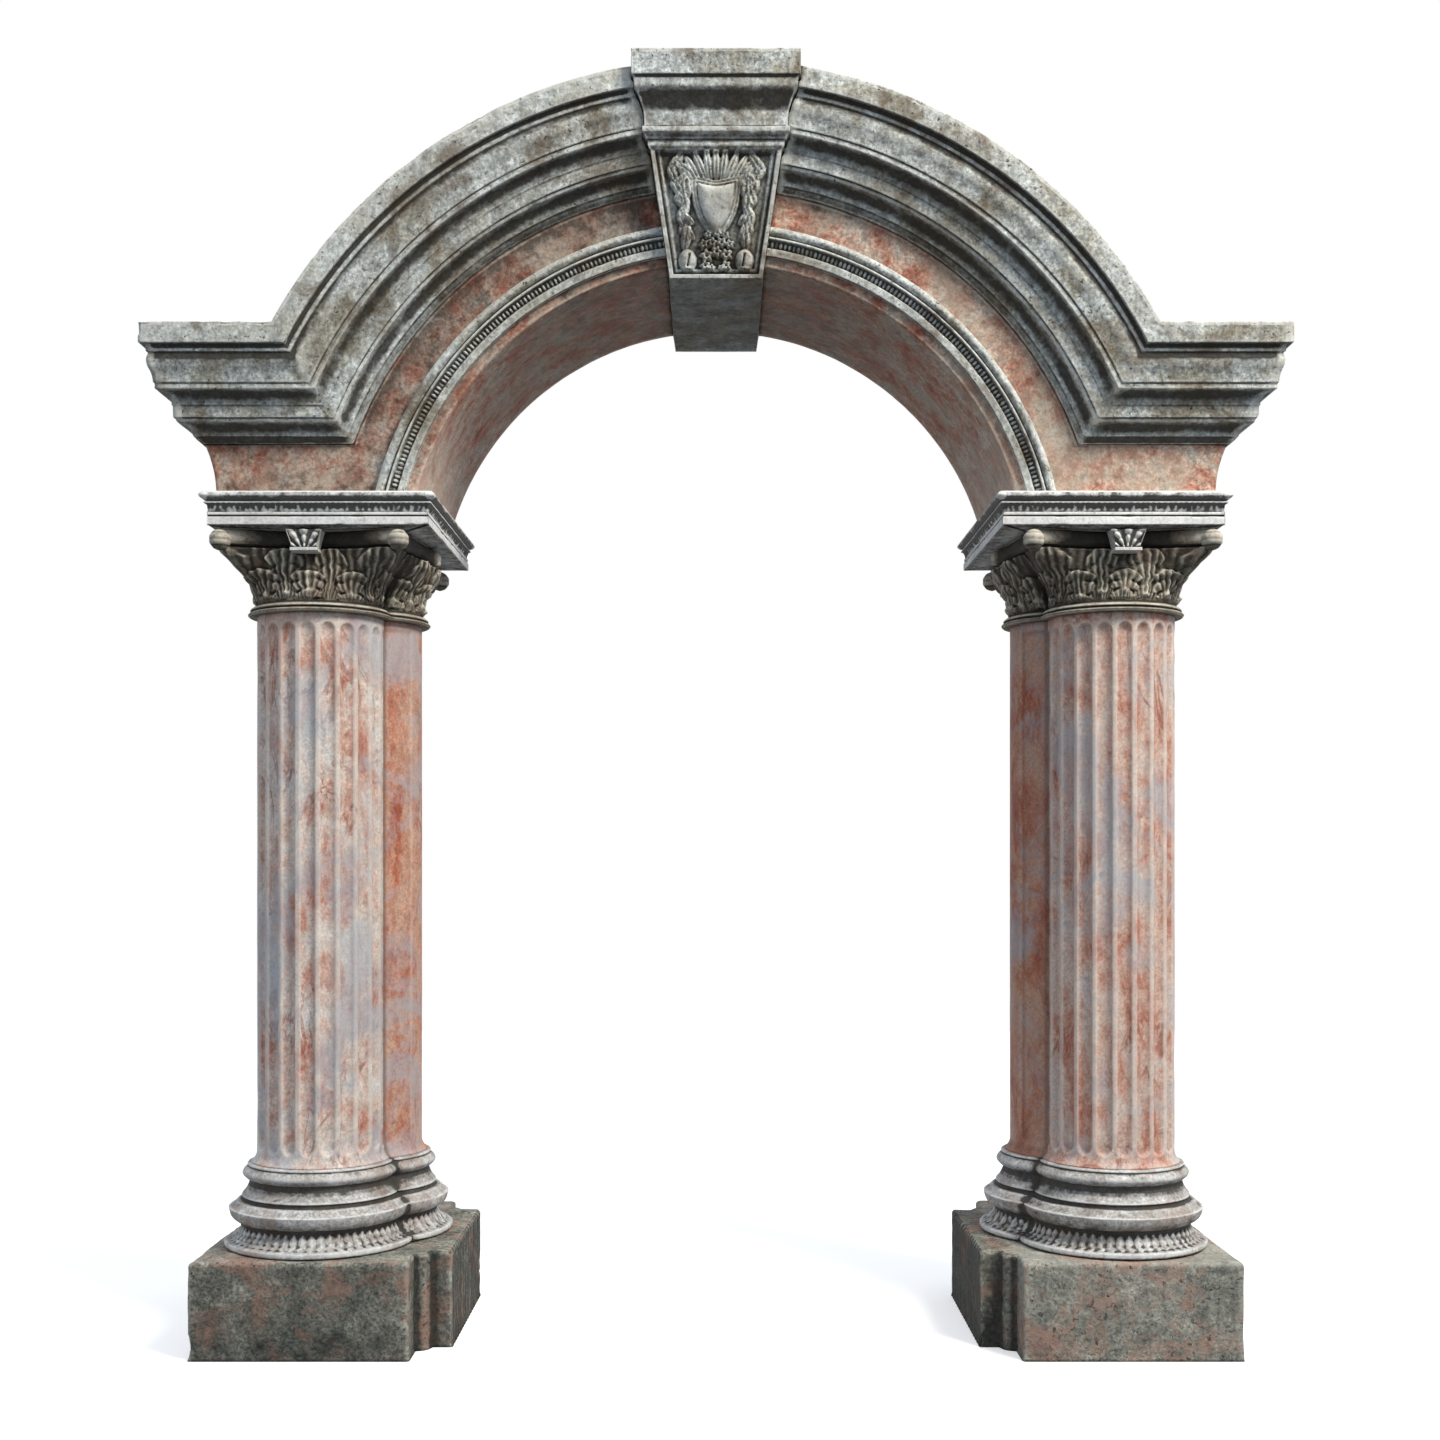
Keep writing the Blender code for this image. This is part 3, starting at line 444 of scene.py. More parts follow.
capital_limestone = weathered_stone(
    "blackened_limestone", ("#5F5D50", "#7C7869", "#989384", "#B0AA9B"), (0.36, 0.46, 0.56, 0.68),
    "#1C1B17", "#E8E3D5", cloud=0.09, grit=0.008, grit_depth=0.34, pits=0.5, stain="#8A7262",
    stain_amount=0.5, stain_start=0.50, stain_size=0.14, streaks=0.22, soot_and_shade_amount=0.92, soot_and_shade_start=0.12,
    soot_and_shade_span=0.8, edge_amount=0.8, patch_share=0.55, roughness=0.85, bump=0.35)
fleuron_limestone = weathered_stone(
    "pale_carved_limestone", ("#D2D4D0", "#E6E7E3", "#F4F5F1"), (0.36, 0.5, 0.64), "#26231E", "#FCFCF8",
    cloud=0.05, grit=0.008, grit_depth=0.15, pits=0.3, stain_amount=0.2, streaks=0.08, soot_and_shade_start=0.12,
    soot_and_shade_span=0.4, edge_amount=0.7, patch_share=0.35, bump=0.3)
white_limestone = weathered_stone(
    "white_limestone", ("#E2E7E7", "#F2F5F4", "#FAFBFA"), (0.36, 0.5, 0.64), "#37332C", "#FCFDFC",
    cloud=0.12, grit=0.009, grit_depth=0.10, pits=0.35, stain="#A19C90", stain_amount=0.35,
    stain_start=0.56, streaks=0.18, soot_and_shade_start=0.34, soot_and_shade_span=0.4, edge_amount=0.6, patch_share=0.40,
    roughness=0.75, bump=0.25)
cream_limestone = weathered_stone(
    "cream_limestone", ("#8E8880", "#B0ACA6", "#CACAC7", "#D8DADA"), (0.36, 0.44, 0.53, 0.66), "#2A2721",
    "#EEF1F1", cloud=0.10, grit=0.009, grit_depth=0.28, pits=0.55, stain="#A28A7C", stain_amount=0.5,
    stain_start=0.51, stain_size=0.2, streaks=0.12, soot_and_shade_start=0.20, soot_and_shade_span=0.45, edge_amount=0.8,
    patch_share=0.55, roughness=0.75, bump=0.35)
plinth_limestone = weathered_stone(
    "dark_green_limestone", ("#5A5F58", "#7C7F76", "#97988D", "#ADACA0"), (0.36, 0.44, 0.54, 0.68),
    "#20221F", "#C6C5BA", cloud=0.12, grit=0.010, grit_depth=0.46, pits=0.85, stain="#AE8B7B",
    stain_amount=0.75, stain_start=0.50, stain_size=0.17, streaks=0.25, soot_and_shade_amount=0.85, soot_and_shade_start=0.25,
    soot_and_shade_span=0.8, edge_amount=0.6, patch_share=0.9, roughness=0.85, bump=0.8)

# %% [markdown]
# ## Clustered columns
# In plan a pier is three circles that run into each other: the front column, one nearer the opening,
# and one behind. The outline is worked out as three arcs between the creases where the circles cross.
# Given a column of radii, one for each height, the function returns the whole surface at once.

# %% Outline of the merged circles
COLUMN_X, COLUMN_Y, INNER_X = 1.1495, 0.165, 1.067
PIER_X = (COLUMN_X + INNER_X) / 2


def cluster(radii, counts):
    """Grid of plan points for radii (one a row): arc points between the creases of the circles.

    The crease with the rear circle lies where sin(angle) = distance / radius, and the crease with the
    inner circle at the bearing to it plus or minus acos(half distance / radius). Returns x, y, the
    angle round the point's own circle and the number of that circle.
    """
    radii = np.asarray(radii, float)[:, None]
    gap = math.hypot(COLUMN_X - INNER_X, COLUMN_Y) / 2
    outer = np.arcsin(np.clip(COLUMN_Y / radii, -1, 1))
    bearing = math.atan2(COLUMN_Y, INNER_X - COLUMN_X)
    inner = bearing + np.arccos(gap / radii) - 2 * math.pi
    half = math.pi + math.atan2(-COLUMN_Y, COLUMN_X - INNER_X) - np.arccos(gap / radii)
    shares = [np.linspace(0, 1, count, endpoint=False)[None] for count in counts]
    front = outer + (inner - outer) * shares[0]
    middle = math.pi + half - 2 * half * shares[1]
    rear = -(inner + (outer - inner) * shares[2])
    x = np.concatenate([COLUMN_X + radii * np.cos(front), INNER_X + radii * np.cos(middle),
                        COLUMN_X + radii * np.cos(rear)], 1)
    y = np.concatenate([-COLUMN_Y + radii * np.sin(front), radii * np.sin(middle),
                        COLUMN_Y + radii * np.sin(rear)], 1)
    angle = np.concatenate([front, middle, rear], 1)
    owner = np.repeat([0, 1, 2], counts)[None] * np.ones((len(radii), 1))
    return x, y, angle, owner


def crease_shade(counts):
    """How close each column of the grid is to a crease between two columns of stone, from 0 to 1."""
    places = np.concatenate([np.linspace(0, 1, count, endpoint=False) for count in counts])
    return np.exp(-np.minimum(places, 1 - places)[None] / 0.045)


print("columns of stone stand", round(COLUMN_Y, 3), "m before and behind the inner one")

# %% [markdown]
# The left pier mirrors the right one. A mirror image is inside out, and so is a grid whose columns run
# the other way round, so the two are used together. A flat top or bottom is closed by rows that shrink
# towards the middle, which keeps the faces small and even.

# %% Left and right, and closed ends
SIDES = ((-1, "left"), (1, "right"))
CAP_SHARES = np.linspace(0.85, 0.05, 5)


def turned(keep, *arrays):
    """The arrays as they are, or all with their grid columns the other way round."""
    return arrays if keep else tuple(array[:, ::-1] for array in arrays)


def on_side(side, grid, *values):
    """The right pier as worked out, with its grid columns turned round, or its mirror image."""
    if side > 0:
        return turned(False, grid, *values)
    return grid * np.array([-1, 1, 1]), *values


def capped(grid, shade, middle, shares, tones):
    """Close both ends with level rows that shrink to the middle of the plan, each end in its tone."""
    middle = np.array([*middle, 0.0])
    scale = shares[:, None, None] * np.array([1, 1, 0]) + np.array([0, 0, 1])
    low, high = [middle + (row - middle) * scale for row in (grid[:1], grid[-1:])]
    low_shade, high_shade = [np.full(low.shape[:2], tone) for tone in tones]
    return np.concatenate([low[::-1], grid, high]), np.concatenate([low_shade, shade, high_shade])


print("rows that close an end:", len(CAP_SHARES))

# %% [markdown]
# The shafts are turned from pink marble. The front column has twenty flutes, cut as shallow round
# channels with a flat fillet left between them, and each flute ends in a round scoop. The inner column
# is plain but for a thin raised band towards the opening. At its foot the shaft flares to the base.

# %% Shafts
SHAFT_LOW, SHAFT_TOP, SHAFT_R = 0.5123, 2.079, 0.1815
FLUTE_PITCH = 2 * math.pi / 20


def flute_cut(angle, height):
    """Depth of the fluting: a round channel across three quarters of each pitch.

    Towards an end of the flute the channel narrows and shallows as a half circle does.
    """
    turn = (angle + math.pi / 2) / FLUTE_PITCH
    across = np.abs(turn - np.round(turn)) / 0.375
    end = np.minimum(height - (SHAFT_LOW + 0.033), SHAFT_TOP - 0.028 - height)
    round_end = np.sqrt(np.clip(1 - (1 - np.clip(end / 0.026, 0, 1)) ** 2, 0, 1))
    inside = np.clip(1 - (across / np.maximum(round_end, 1e-3)) ** 2, 0, 1)
    return 0.0125 * np.sqrt(inside) * round_end


def shaft(side):
    """Heights close together at both ends, radii with the flare, flutes cut into the front arc."""
    ends = np.linspace(0, 0.068, 19)
    heights = np.concatenate([SHAFT_LOW + ends, np.linspace(SHAFT_LOW + 0.11, SHAFT_TOP - 0.11, 24),
                              SHAFT_TOP - ends[::-1]])
    foot = np.clip(1 - (heights - SHAFT_LOW) / 0.033, 0, 1)
    radii = SHAFT_R + 0.0165 * foot ** 2.2
    counts = (230, 90, 26)
    x, y, angle, owner = cluster(radii, counts)
    tall = heights[:, None] * np.ones_like(x)
    cut = np.where(owner == 0, flute_cut(angle, tall), 0)
    crease = crease_shade(counts)
    cut = cut * np.clip((1 - crease) * 4, 0, 1)
    band = np.clip((math.radians(27) - np.abs(angle - math.pi)) / 0.02, 0, 1)
    cut = cut + np.where(owner == 1, 0.004 * (1 - band), 0) * end_fade(tall)
    x = x - cut * np.cos(angle)
    y = y - cut * np.sin(angle)
    warmth = np.where(owner == 1, 1.0, 0.0 if side < 0 else 0.35)
    # Painted shade: darker in the creases between the columns and on the right pier's inner and rear columns,
    # which face away from the light; the left front shaft is drawn paler.
    shade = 0.9 * crease ** 2 + np.where(owner == 0, -0.25 if side < 0 else 0.0, 0.08 if side < 0 else 0.60)
    return on_side(side, np.stack([x, y, tall], -1), shade, warmth)


def end_fade(tall):
    """0 at the ends of the shaft and 1 along its length."""
    return np.clip(np.minimum((tall - SHAFT_LOW - 0.03) / 0.02, (SHAFT_TOP - 0.02 - tall) / 0.01), 0, 1)


for side, label in SIDES:
    grid, shade, warmth = shaft(side)
    stone_piece("shaft_fine_" + label, grid, pink_marble, 11 + side, shade, rough=0.0008,
                reach=4, warmth=warmth, replaces="shaft_" + label)

# %% [markdown]
# ## Bases
# The base follows the three columns in one sweep of mouldings: at the bottom a spreading skirt cut
# with small upright leaves, then a torus with a sharp crest, a brown groove, a cone and a smaller torus
# with a lip. The leaves are worked out as a height pattern along each circle.

# %% Bases
BASE_LINE = [
    (0.268, 0.2753, 0), (0.2735, 0.282, -0.2), (0.2735, 0.290, 0), (0.268, 0.294, 0), (0.262, 0.295, 0),
    (0.229, 0.331, 0.12), (0.226, 0.3440, 0), (0.234, 0.3450, 0), (0.2600, 0.3810, -0.16),
    (0.2610, 0.3850, 0), (0.2370, 0.4045, 0.04), (0.2215, 0.4065, 0), (0.2195, 0.4155, 0),
    (0.2245, 0.4170, 0), (0.2240, 0.4215, 0),
    (0.2030, 0.456, 0.07), (0.2015, 0.4625, 0), (0.2065, 0.464, 0), (0.2075, 0.5020, -0.40),
    (0.2060, 0.5030, 0), (0.2085, 0.5045, 0), (0.2085, 0.5090, 0), (0.2030, 0.5118, 0),
]


def bands(values, parts):
    """Sum of soft-edged bands: strength times exp of minus (distance / half width) to the fourth."""
    return sum(strength * np.exp(-((values - middle) / half) ** 4) for middle, half, strength in parts)


def base(side):
    """Moulding line walked at 2.8 mm, swept round the cluster, with leaves on the skirt."""
    line = traced(BASE_LINE, 0.0028)
    radii, heights = line[:, 0], line[:, 1]
    counts = (140, 56, 26)
    x, y, angle, owner = cluster(radii, counts)
    tall = heights[:, None] * np.ones_like(x)
    along = angle * 0.25 / 0.027
    up = np.clip((tall - 0.294) / 0.038, 0, 1)
    strip = np.where((tall > 0.2935) & (tall < 0.334), 1.0, 0.0)
    vein = np.abs(along % 1 - 0.5) * 2
    wide = 0.35 + 0.75 * np.sin(math.pi * np.clip(0.15 + 0.8 * up, 0, 1))
    leaf = np.clip(1.15 - vein / wide, 0, 1) ** 0.5
    ribs = 0.5 + 0.5 * np.cos((along + 0.25 * np.sin(up * 2.5) * np.sign(along % 1 - 0.5)) * 8 * math.pi)
    relief = np.clip(leaf * (0.45 + 0.55 * ribs), 0, 1)
    cut = strip * 0.008 * (1 - relief)
    x = x - cut * np.cos(angle)
    y = y - cut * np.sin(angle)
    crease = crease_shade(counts)
    # Painted shade under the tori, in the grooves, in the creases and between the skirt's leaves; painted
    # highlights on the crests, the lips and the raised leaves. The right base and the rear column are drawn
    # darker.
    shade = bands(tall, [(0.4110, 0.0050, 0.65), (0.4570, 0.0080, 0.9), (0.4460, 0.0090, 0.35),
                         (0.3400, 0.0065, 1.3), (0.5035, 0.0012, 0.5), (0.3650, 0.0150, 0.15),
                         (0.5070, 0.0025, -0.5), (0.4195, 0.0025, -0.4), (0.3860, 0.0030, -0.5),
                         (0.2860, 0.0040, -0.5), (0.2765, 0.0030, 0.6)])
    shade = shade + 0.5 * crease + strip * (0.45 - 0.85 * relief) + (0.10 if side < 0 else 0.24)
    shade = shade + 0.12 * (owner == 2)
    return on_side(side, np.stack([x, y, tall], -1), shade)


for side, label in SIDES:
    grid, shade = base(side)
    stone_piece("base_fine_" + label, grid, cream_limestone, 21 + side, shade, rough=0.0016,
                chips=0.006, reach=4, replaces="base_" + label, hollow_scale=0.005, underside_shade=0.5)

# %% [markdown]
# ## Plinths
# Plain blocks, but far from flat: pitted, with softened corners and chipped edges. In plan the block
# steps in towards the opening with a hollow between. The outline is traced like a moulding, then
# lofted upwards, and its top edge is cut back. The side towards the opening has upright tool marks.

# %% Plinths
def plinth(side):
    """Plan outline walked at 11 mm, raised in rows, with a worn shoulder at the top."""
    half = [(0.745, 0, 0), (0.745, -0.308, 0), (0.803, -0.308, 0), (0.844, -0.349, -0.207),
            (0.844, -0.454, 0), (1.455, -0.454, 0), (1.455, 0, 0)]
    front = traced(half, 0.011)
    outline = np.concatenate([front, front[-2:0:-1] * [1, -1]])
    shoulder = np.linspace(0.15, 1.57, 7)
    heights = np.concatenate([np.linspace(0, 0.259, 32), 0.259 + 0.016 * np.sin(shoulder)])
    inset = np.concatenate([np.zeros(32), 0.014 * (1 - np.cos(shoulder))])
    inner = np.array([1.11, 0.0])
    towards = np.clip(inner - outline, -0.2, 0.2)
    towards = towards / np.maximum(np.abs(towards).max(1, keepdims=True), 1e-9)
    spread = outline[None] + inset[:, None, None] * towards[None]
    ribs = 0.0022 * (0.5 + 0.5 * np.cos(outline[:, 1] * 2 * math.pi / 0.034)) * (outline[:, 0] < 0.746)
    spread[..., 0] += ribs[None]
    cap_share = np.linspace(0.10, 0.9, 12)
    cap = spread[-1][None] + (inner - spread[-1])[None] * cap_share[:, None, None]
    plan = np.concatenate([spread, cap])
    tall = np.concatenate([heights, np.full(12, 0.275)])[:, None] * np.ones((1, len(outline)))
    grid = np.concatenate([plan, tall[..., None]], -1)
    # Painted shade in stripes along the tool marks on the face towards the opening.
    shade = np.where(outline[:, 0] < 0.746, 0.5 * (ribs > 0.0011) + 0.1, 0.0)[None] * np.ones(grid.shape[:2])
    return on_side(side, *turned(False, grid, shade))


for side, label in SIDES:
    grid, shade = plinth(side)
    tall = grid[..., 2]
    # Painted shade: darker towards the floor, on the whole left plinth and on the right plinth's faces
    # towards the opening; painted light on the right plinth and a painted highlight on the tops, with a pale
    # worn line along the top edge.
    shade = shade + 0.3 * np.exp(-tall / 0.04) + (0.55 if side < 0 else -0.42)
    if side > 0:
        shade = shade + 1.3 * (grid[..., 0] < 0.842)
    shade = shade - 0.35 * bands(tall, [(0.268, 0.006, 1.0)]) - 0.8 * (tall > 0.2745)
    stone_piece("plinth_fine_" + label, grid, plinth_limestone, 31 + side, shade, rough=0.006,
                chips=0.014, reach=2, replaces="plinth_" + label, hollow_scale=0.006, margin=1)

# %% [markdown]
# ## Imposts
# Between capital and arch lies a nearly white block: a plain fascia, a narrow light band, a hollow
# carved with a row of small uneven leaves, and a round-topped moulding. The same line runs round all four
# sides, so the surface is a line of (projection, height) points offset from a rectangle.

# %% Imposts
IMPOST_LINE = [
    (-0.010, 2.3140, 0), (0.0, 2.3143, 0), (0.0, 2.3370, 0), (-0.009, 2.3375, 0), (-0.009, 2.3408, 0),
    (-0.002, 2.3412, 0), (-0.002, 2.3500, 0), (-0.010, 2.3506, 0), (0.003, 2.3722, 0.18),
    (0.0070, 2.3727, 0), (0.0070, 2.3772, 0), (0.0030, 2.3790, 0), (0.0030, 2.3812, 0), (0.0085, 2.3824, 0),
    (0.0090, 2.4060, -0.40), (0.000, 2.4080, 0),
]


def rectangle_path(low_x, high_x, half_y, steps):
    """Points round a rectangle at one step for each side, with the outward offset direction of each.

    At a corner the offset direction is the diagonal (1, 1), which mitres every moulding. A point lies
    just beside each corner, so that the mitre stays crisp.
    """
    corners = np.array([[low_x, -half_y], [high_x, -half_y], [high_x, half_y], [low_x, half_y]])
    outward = np.array([[0, -1], [1, 0], [0, 1], [-1, 0]])
    points, offsets = [], []
    for index, step in enumerate(steps):
        start, end = corners[index], corners[(index + 1) % 4]
        count = int(round(np.abs(end - start).max() / step))
        share = np.concatenate([[0, 0.15 / count], np.arange(1, count) / count, [1 - 0.15 / count]])
        points.append(start + (end - start) * share[:, None])
        direction = np.repeat(outward[index][None], len(share), 0)
        direction[0] = outward[index] + outward[index - 1]
        offsets.append(direction)
    return np.concatenate(points), np.concatenate(offsets).astype(float)


def impost(side):
    """Offset every plan point by the moulding's projection; small leaves swell inside the hollow."""
    line = traced(IMPOST_LINE, 0.0024)
    path, offset = rectangle_path(0.799, 1.418, 0.396, (0.0040, 0.018, 0.024, 0.0064))
    reach = line[:, 0][:, None] * np.ones((1, len(path)))
    tall = line[:, 1][:, None] * np.ones((1, len(path)))
    gone = walked(path)
    bend = gone[None] + 0.0030 * np.sin(gone[None] * 61) + (tall - 2.3600) * 0.35 * np.sin(gone[None] * 97)
    inside = np.clip(1 - ((tall - 2.3625) / 0.0105) ** 2, 0, 1)
    points = np.concatenate([np.broadcast_to(path[None], tall.shape + (2,)), tall[..., None]], -1)
    leaf = np.clip(0.45 + 0.30 * np.cos(2 * np.pi * bend / 0.0165) + 0.65 * lumps(points, 0.0085, 44), 0, 1)
    reach = reach + 0.0050 * leaf * inside
    plan = path[None] + offset[None] * reach[..., None]
    grid = np.concatenate([plan, tall[..., None]], -1)
    # Painted shade: the carved hollow dark above its leaves, the small notches and grooves as dark lines, the
    # round top moulding shaded, the closed ends a little darker.
    carved = bands(tall, [(2.3668, 0.0068, 1.15), (2.3575, 0.0050, 0.50)]) * (1 - 0.65 * leaf * inside)
    teeth = bands(tall, [(2.3740, 0.0020, 0.5)]) * (np.cos(2 * np.pi * gone / 0.0152) < 0.1)[None]
    lines = bands(tall, [(2.3392, 0.0022, 1.2), (2.3143, 0.0015, 0.5), (2.3800, 0.0016, 1.1),
                         (2.3505, 0.0012, 0.5), (2.3835, 0.0025, 0.45), (2.3755, 0.0016, 0.2),
                         (2.3930, 0.0105, 0.80)])
    grid, shade = capped(grid, carved + teeth + lines, (1.1085, 0.0), CAP_SHARES, (0.1, 0.3))
    return on_side(side, *turned(False, grid, shade))


for side, label in SIDES:
    grid, shade = impost(side)
    stone_piece("impost_fine_" + label, grid, white_limestone, 41 + side, shade, rough=0.0010,
                chips=0.006, replaces="impost_" + label, hollow_scale=0.005, margin=6, underside_shade=0.38)

# %% [markdown]
# ## The wall of the arch
# The pink wall is a thick slice of ring. In section it is a rectangle: soffit below, cornice above,
# a flat face front and back. The section is carried round from the impost to the keystone, and its
# lower part widens to the flared outer side. A painted shadow darkens the wall just under the cornice.

# %% Arch wall
CENTRE_Z, SOFFIT_R, WALL_Y = 2.1867, 0.876, 0.3286
SPRING_Z, KEY_ANGLE = 2.4087, math.radians(8.95)
CORNICE_LOW_Z, CORNICE_IN_R = 2.5524, 1.0865


def arch_wall(side):
    """Rows go round the wall's section, columns from the impost to the keystone.

    Each column joins a point of the soffit circle to a point of the wall's outer line. The outer line
    runs up the flared side, along under the cornice and round its inner circle, in even steps. The
    column at the cornice's corner is radial, so that no two columns cross.
    """
    foot = math.acos((SPRING_Z - CENTRE_Z) / SOFFIT_R)
    stop = KEY_ANGLE + 0.0004
    top = CORNICE_LOW_Z - 0.0003
    radius = CORNICE_IN_R - 0.0003
    turn = math.acos((top - CENTRE_Z) / radius)
    rise = np.linspace(0, 1, 30)[:, None]
    flare = np.concatenate([1.410 + 0.0327 * rise ** 2, SPRING_Z + (top - SPRING_Z) * rise], 1)
    level = np.linspace([1.4427, top], [radius * math.sin(turn), top], 40)
    arc = np.linspace(turn, stop, 120)
    curve = np.stack([radius * np.sin(arc), CENTRE_Z + radius * np.cos(arc)], 1)
    line = np.concatenate([flare, level[1:], curve[1:]])
    gone = walked(line)
    reach = np.sort(np.append(np.linspace(0, gone[-1], 128), [gone[29], gone[68]]))
    outer = np.stack([np.interp(reach, gone, line[:, 0]), np.interp(reach, gone, line[:, 1])], 1)
    angle = np.interp(reach, [0, gone[68], gone[-1]], [foot, turn, stop])
    inner = np.stack([SOFFIT_R * np.sin(angle), CENTRE_Z + SOFFIT_R * np.cos(angle)], 1)
    share = np.concatenate([np.full(34, 0.0), np.linspace(0, 1, 36)[1:-1], np.full(14, 1.0),
                            np.linspace(1, 0, 24)[1:-1]])
    deep = np.concatenate([np.linspace(WALL_Y, -WALL_Y, 34), np.full(34, -WALL_Y),
                           np.linspace(-WALL_Y, WALL_Y, 14), np.full(22, WALL_Y)])
    flat = inner[:, None] + (outer - inner)[:, None] * share[None, :, None]
    depth = np.broadcast_to(deep[None, :, None], flat.shape[:2] + (1,))
    grid = np.concatenate([flat[..., :1] * side, depth, flat[..., 1:]], -1)
    near = np.linalg.norm(outer[:, None] - flat, axis=-1) * np.ones(grid.shape[:2])
    # Painted shadow just under the cornice. The soffit gets a little painted shade and is painted lighter
    # near the springing; the left wall is darker than the right.
    cornice_shadow = (reach[:, None] > 0.145) * np.exp(-near / 0.020) * 0.75
    leg = np.exp(-(flat[..., 1] - SPRING_Z) / 0.18)
    shade = np.where(share[None] == 0, 0.16 - 2.3 * leg, cornice_shadow + (0.50 if side < 0 else 0.12))
    return turned(side > 0, grid, shade)


for side, label in SIDES:
    grid, shade = arch_wall(side)
    stone_piece("arch_fine_" + label, grid, wall_marble, 51 + side, shade, rough=0.0022,
                chips=0.0, reach=2, replaces="arch_" + label, hollow_scale=0.02, margin=1, underside_shade=0.75)

# %% [markdown]
# ## Face rings
# On each face of the wall a moulded ring follows the opening: a flat fascia, a dark hollow with a row
# of beads, a thin fillet and a round roll. The moulding line holds (radius beyond the soffit,
# projection), and is swept from the impost to the keystone. The back ring has the same line and no
# beads.

# %% Face rings
RING_LINE = [
    (0.0275, 0.000, 0), (0.0278, 0.0155, 0), (0.0495, 0.018, 0), (0.0503, 0.0085, 0), (0.0718, 0.0185, -0.16),
    (0.0726, 0.0270, 0), (0.0792, 0.0270, 0), (0.0802, 0.0165, 0), (0.0825, 0.0160, 0),
    (0.1085, 0.0215, 0.30), (0.1110, 0.000, 0),
]
BEAD_PITCH = 0.0125


def face_ring(side, front):
    """Sweep the moulding; beads are half balls set along the hollow at an even pitch."""
    line = traced(RING_LINE, 0.0027 if front else 0.005)
    out, proud = line[:, 0][None], line[:, 1][None]
    radius = SOFFIT_R + out
    count = 400 if front else 110
    share = np.linspace(0, 1, count)[:, None]
    foot = np.arccos((SPRING_Z + 0.0003 - CENTRE_Z) / radius)
    angle = foot + (KEY_ANGLE + 0.0004 - foot) * share
    # Painted shade in the bead hollow and the grooves, painted highlights on the fascia, the fillet and the
    # roll's crest.
    shade = bands(out, [(0.0612, 0.0105, 0.80), (0.0813, 0.0022, 1.2), (0.0500, 0.0014, 0.6),
                        (0.0276, 0.0016, 0.7), (0.0380, 0.0100, -0.35), (0.0760, 0.0034, -0.55),
                        (0.0910, 0.0060, 0.30), (0.1020, 0.0050, -0.35), (0.1105, 0.0018, 0.7)])
    shade = shade * np.ones_like(angle)
    if front:
        along = (angle - KEY_ANGLE) * (SOFFIT_R + 0.062) / BEAD_PITCH
        bead_x = (along - np.round(along)) * BEAD_PITCH
        bead = np.clip(1 - (bead_x / 0.0052) ** 2 - ((out - 0.0612) / 0.0078) ** 2, 0, 1)
        number = np.round(along)
        bead = bead * np.clip(0.85 + 0.75 * np.sin(number * 2.4) * np.sin(number * 0.7), 0.1, 1)
        proud = proud + 0.0080 * np.sqrt(bead)
        # Painted highlights on the beads.
        shade = shade - 0.85 * np.sqrt(bead)
    deep = np.broadcast_to(WALL_Y + 0.0003 + proud, angle.shape)
    grid = np.stack([side * radius * np.sin(angle), (-deep if front else deep),
                     CENTRE_Z + radius * np.cos(angle)], -1)
    return turned((side > 0) == front, grid, shade)


for side, label in SIDES:
    for front, where in ((True, "front"), (False, "back")):
        grid, shade = face_ring(side, front)
        stone_piece("face_ring_" + where + "_" + label, grid, grey_limestone, 61 + side, shade,
                    rough=0.0010, replaces="archivolt_" + where + "_" + label, margin=1, underside_shade=0.35)

# %% [markdown]
# ## Cornice
# The cornice runs level at the sides, turns a mitre and follows the curve up to the keystone. Both
# runs keep the same moulding line, (distance in from the outer edge, projection), so at the mitre each
# line of the moulding meets itself: on the curve at height z, x is the root of R squared less
# (z - centre) squared. The moulding goes up the front, over the top and down the back. Thin fillets are
# worn pale with painted highlights, and the grooves and coves are black with soot and painted shade,
# darker still on the level runs, where painted shadows lie under the projecting mouldings.

# %% Cornice
CORNICE_TOP, CORNICE_R, WALL_X = 2.8573, 1.3915, 1.4427
CORNICE_LINE = [
    (0.000, 0.1415, 0), (0.002, 0.1425, 0), (0.058, 0.1425, 0), (0.0588, 0.1270, 0), (0.0690, 0.1265, 0),
    (0.0700, 0.1265, 0), (0.0780, 0.1260, 0), (0.0800, 0.1205, 0), (0.1180, 0.1225, 0.10),
    (0.1570, 0.1110, -0.06), (0.1605, 0.1105, 0), (0.1612, 0.1070, 0), (0.1760, 0.1075, 0),
    (0.1770, 0.1030, 0), (0.2020, 0.0735, -0.20), (0.2030, 0.0715, 0), (0.2118, 0.0715, 0),
    (0.2125, 0.0690, 0), (0.2460, 0.0680, 0), (0.2470, 0.0630, 0), (0.2560, 0.0605, 0),
    (0.2566, 0.0550, 0), (0.2830, 0.0275, -0.20), (0.2840, 0.0250, 0), (0.2892, 0.0248, 0),
    (0.2900, 0.0215, 0), (0.3045, 0.0025, 0.12), (0.3050, 0.0, 0),
]
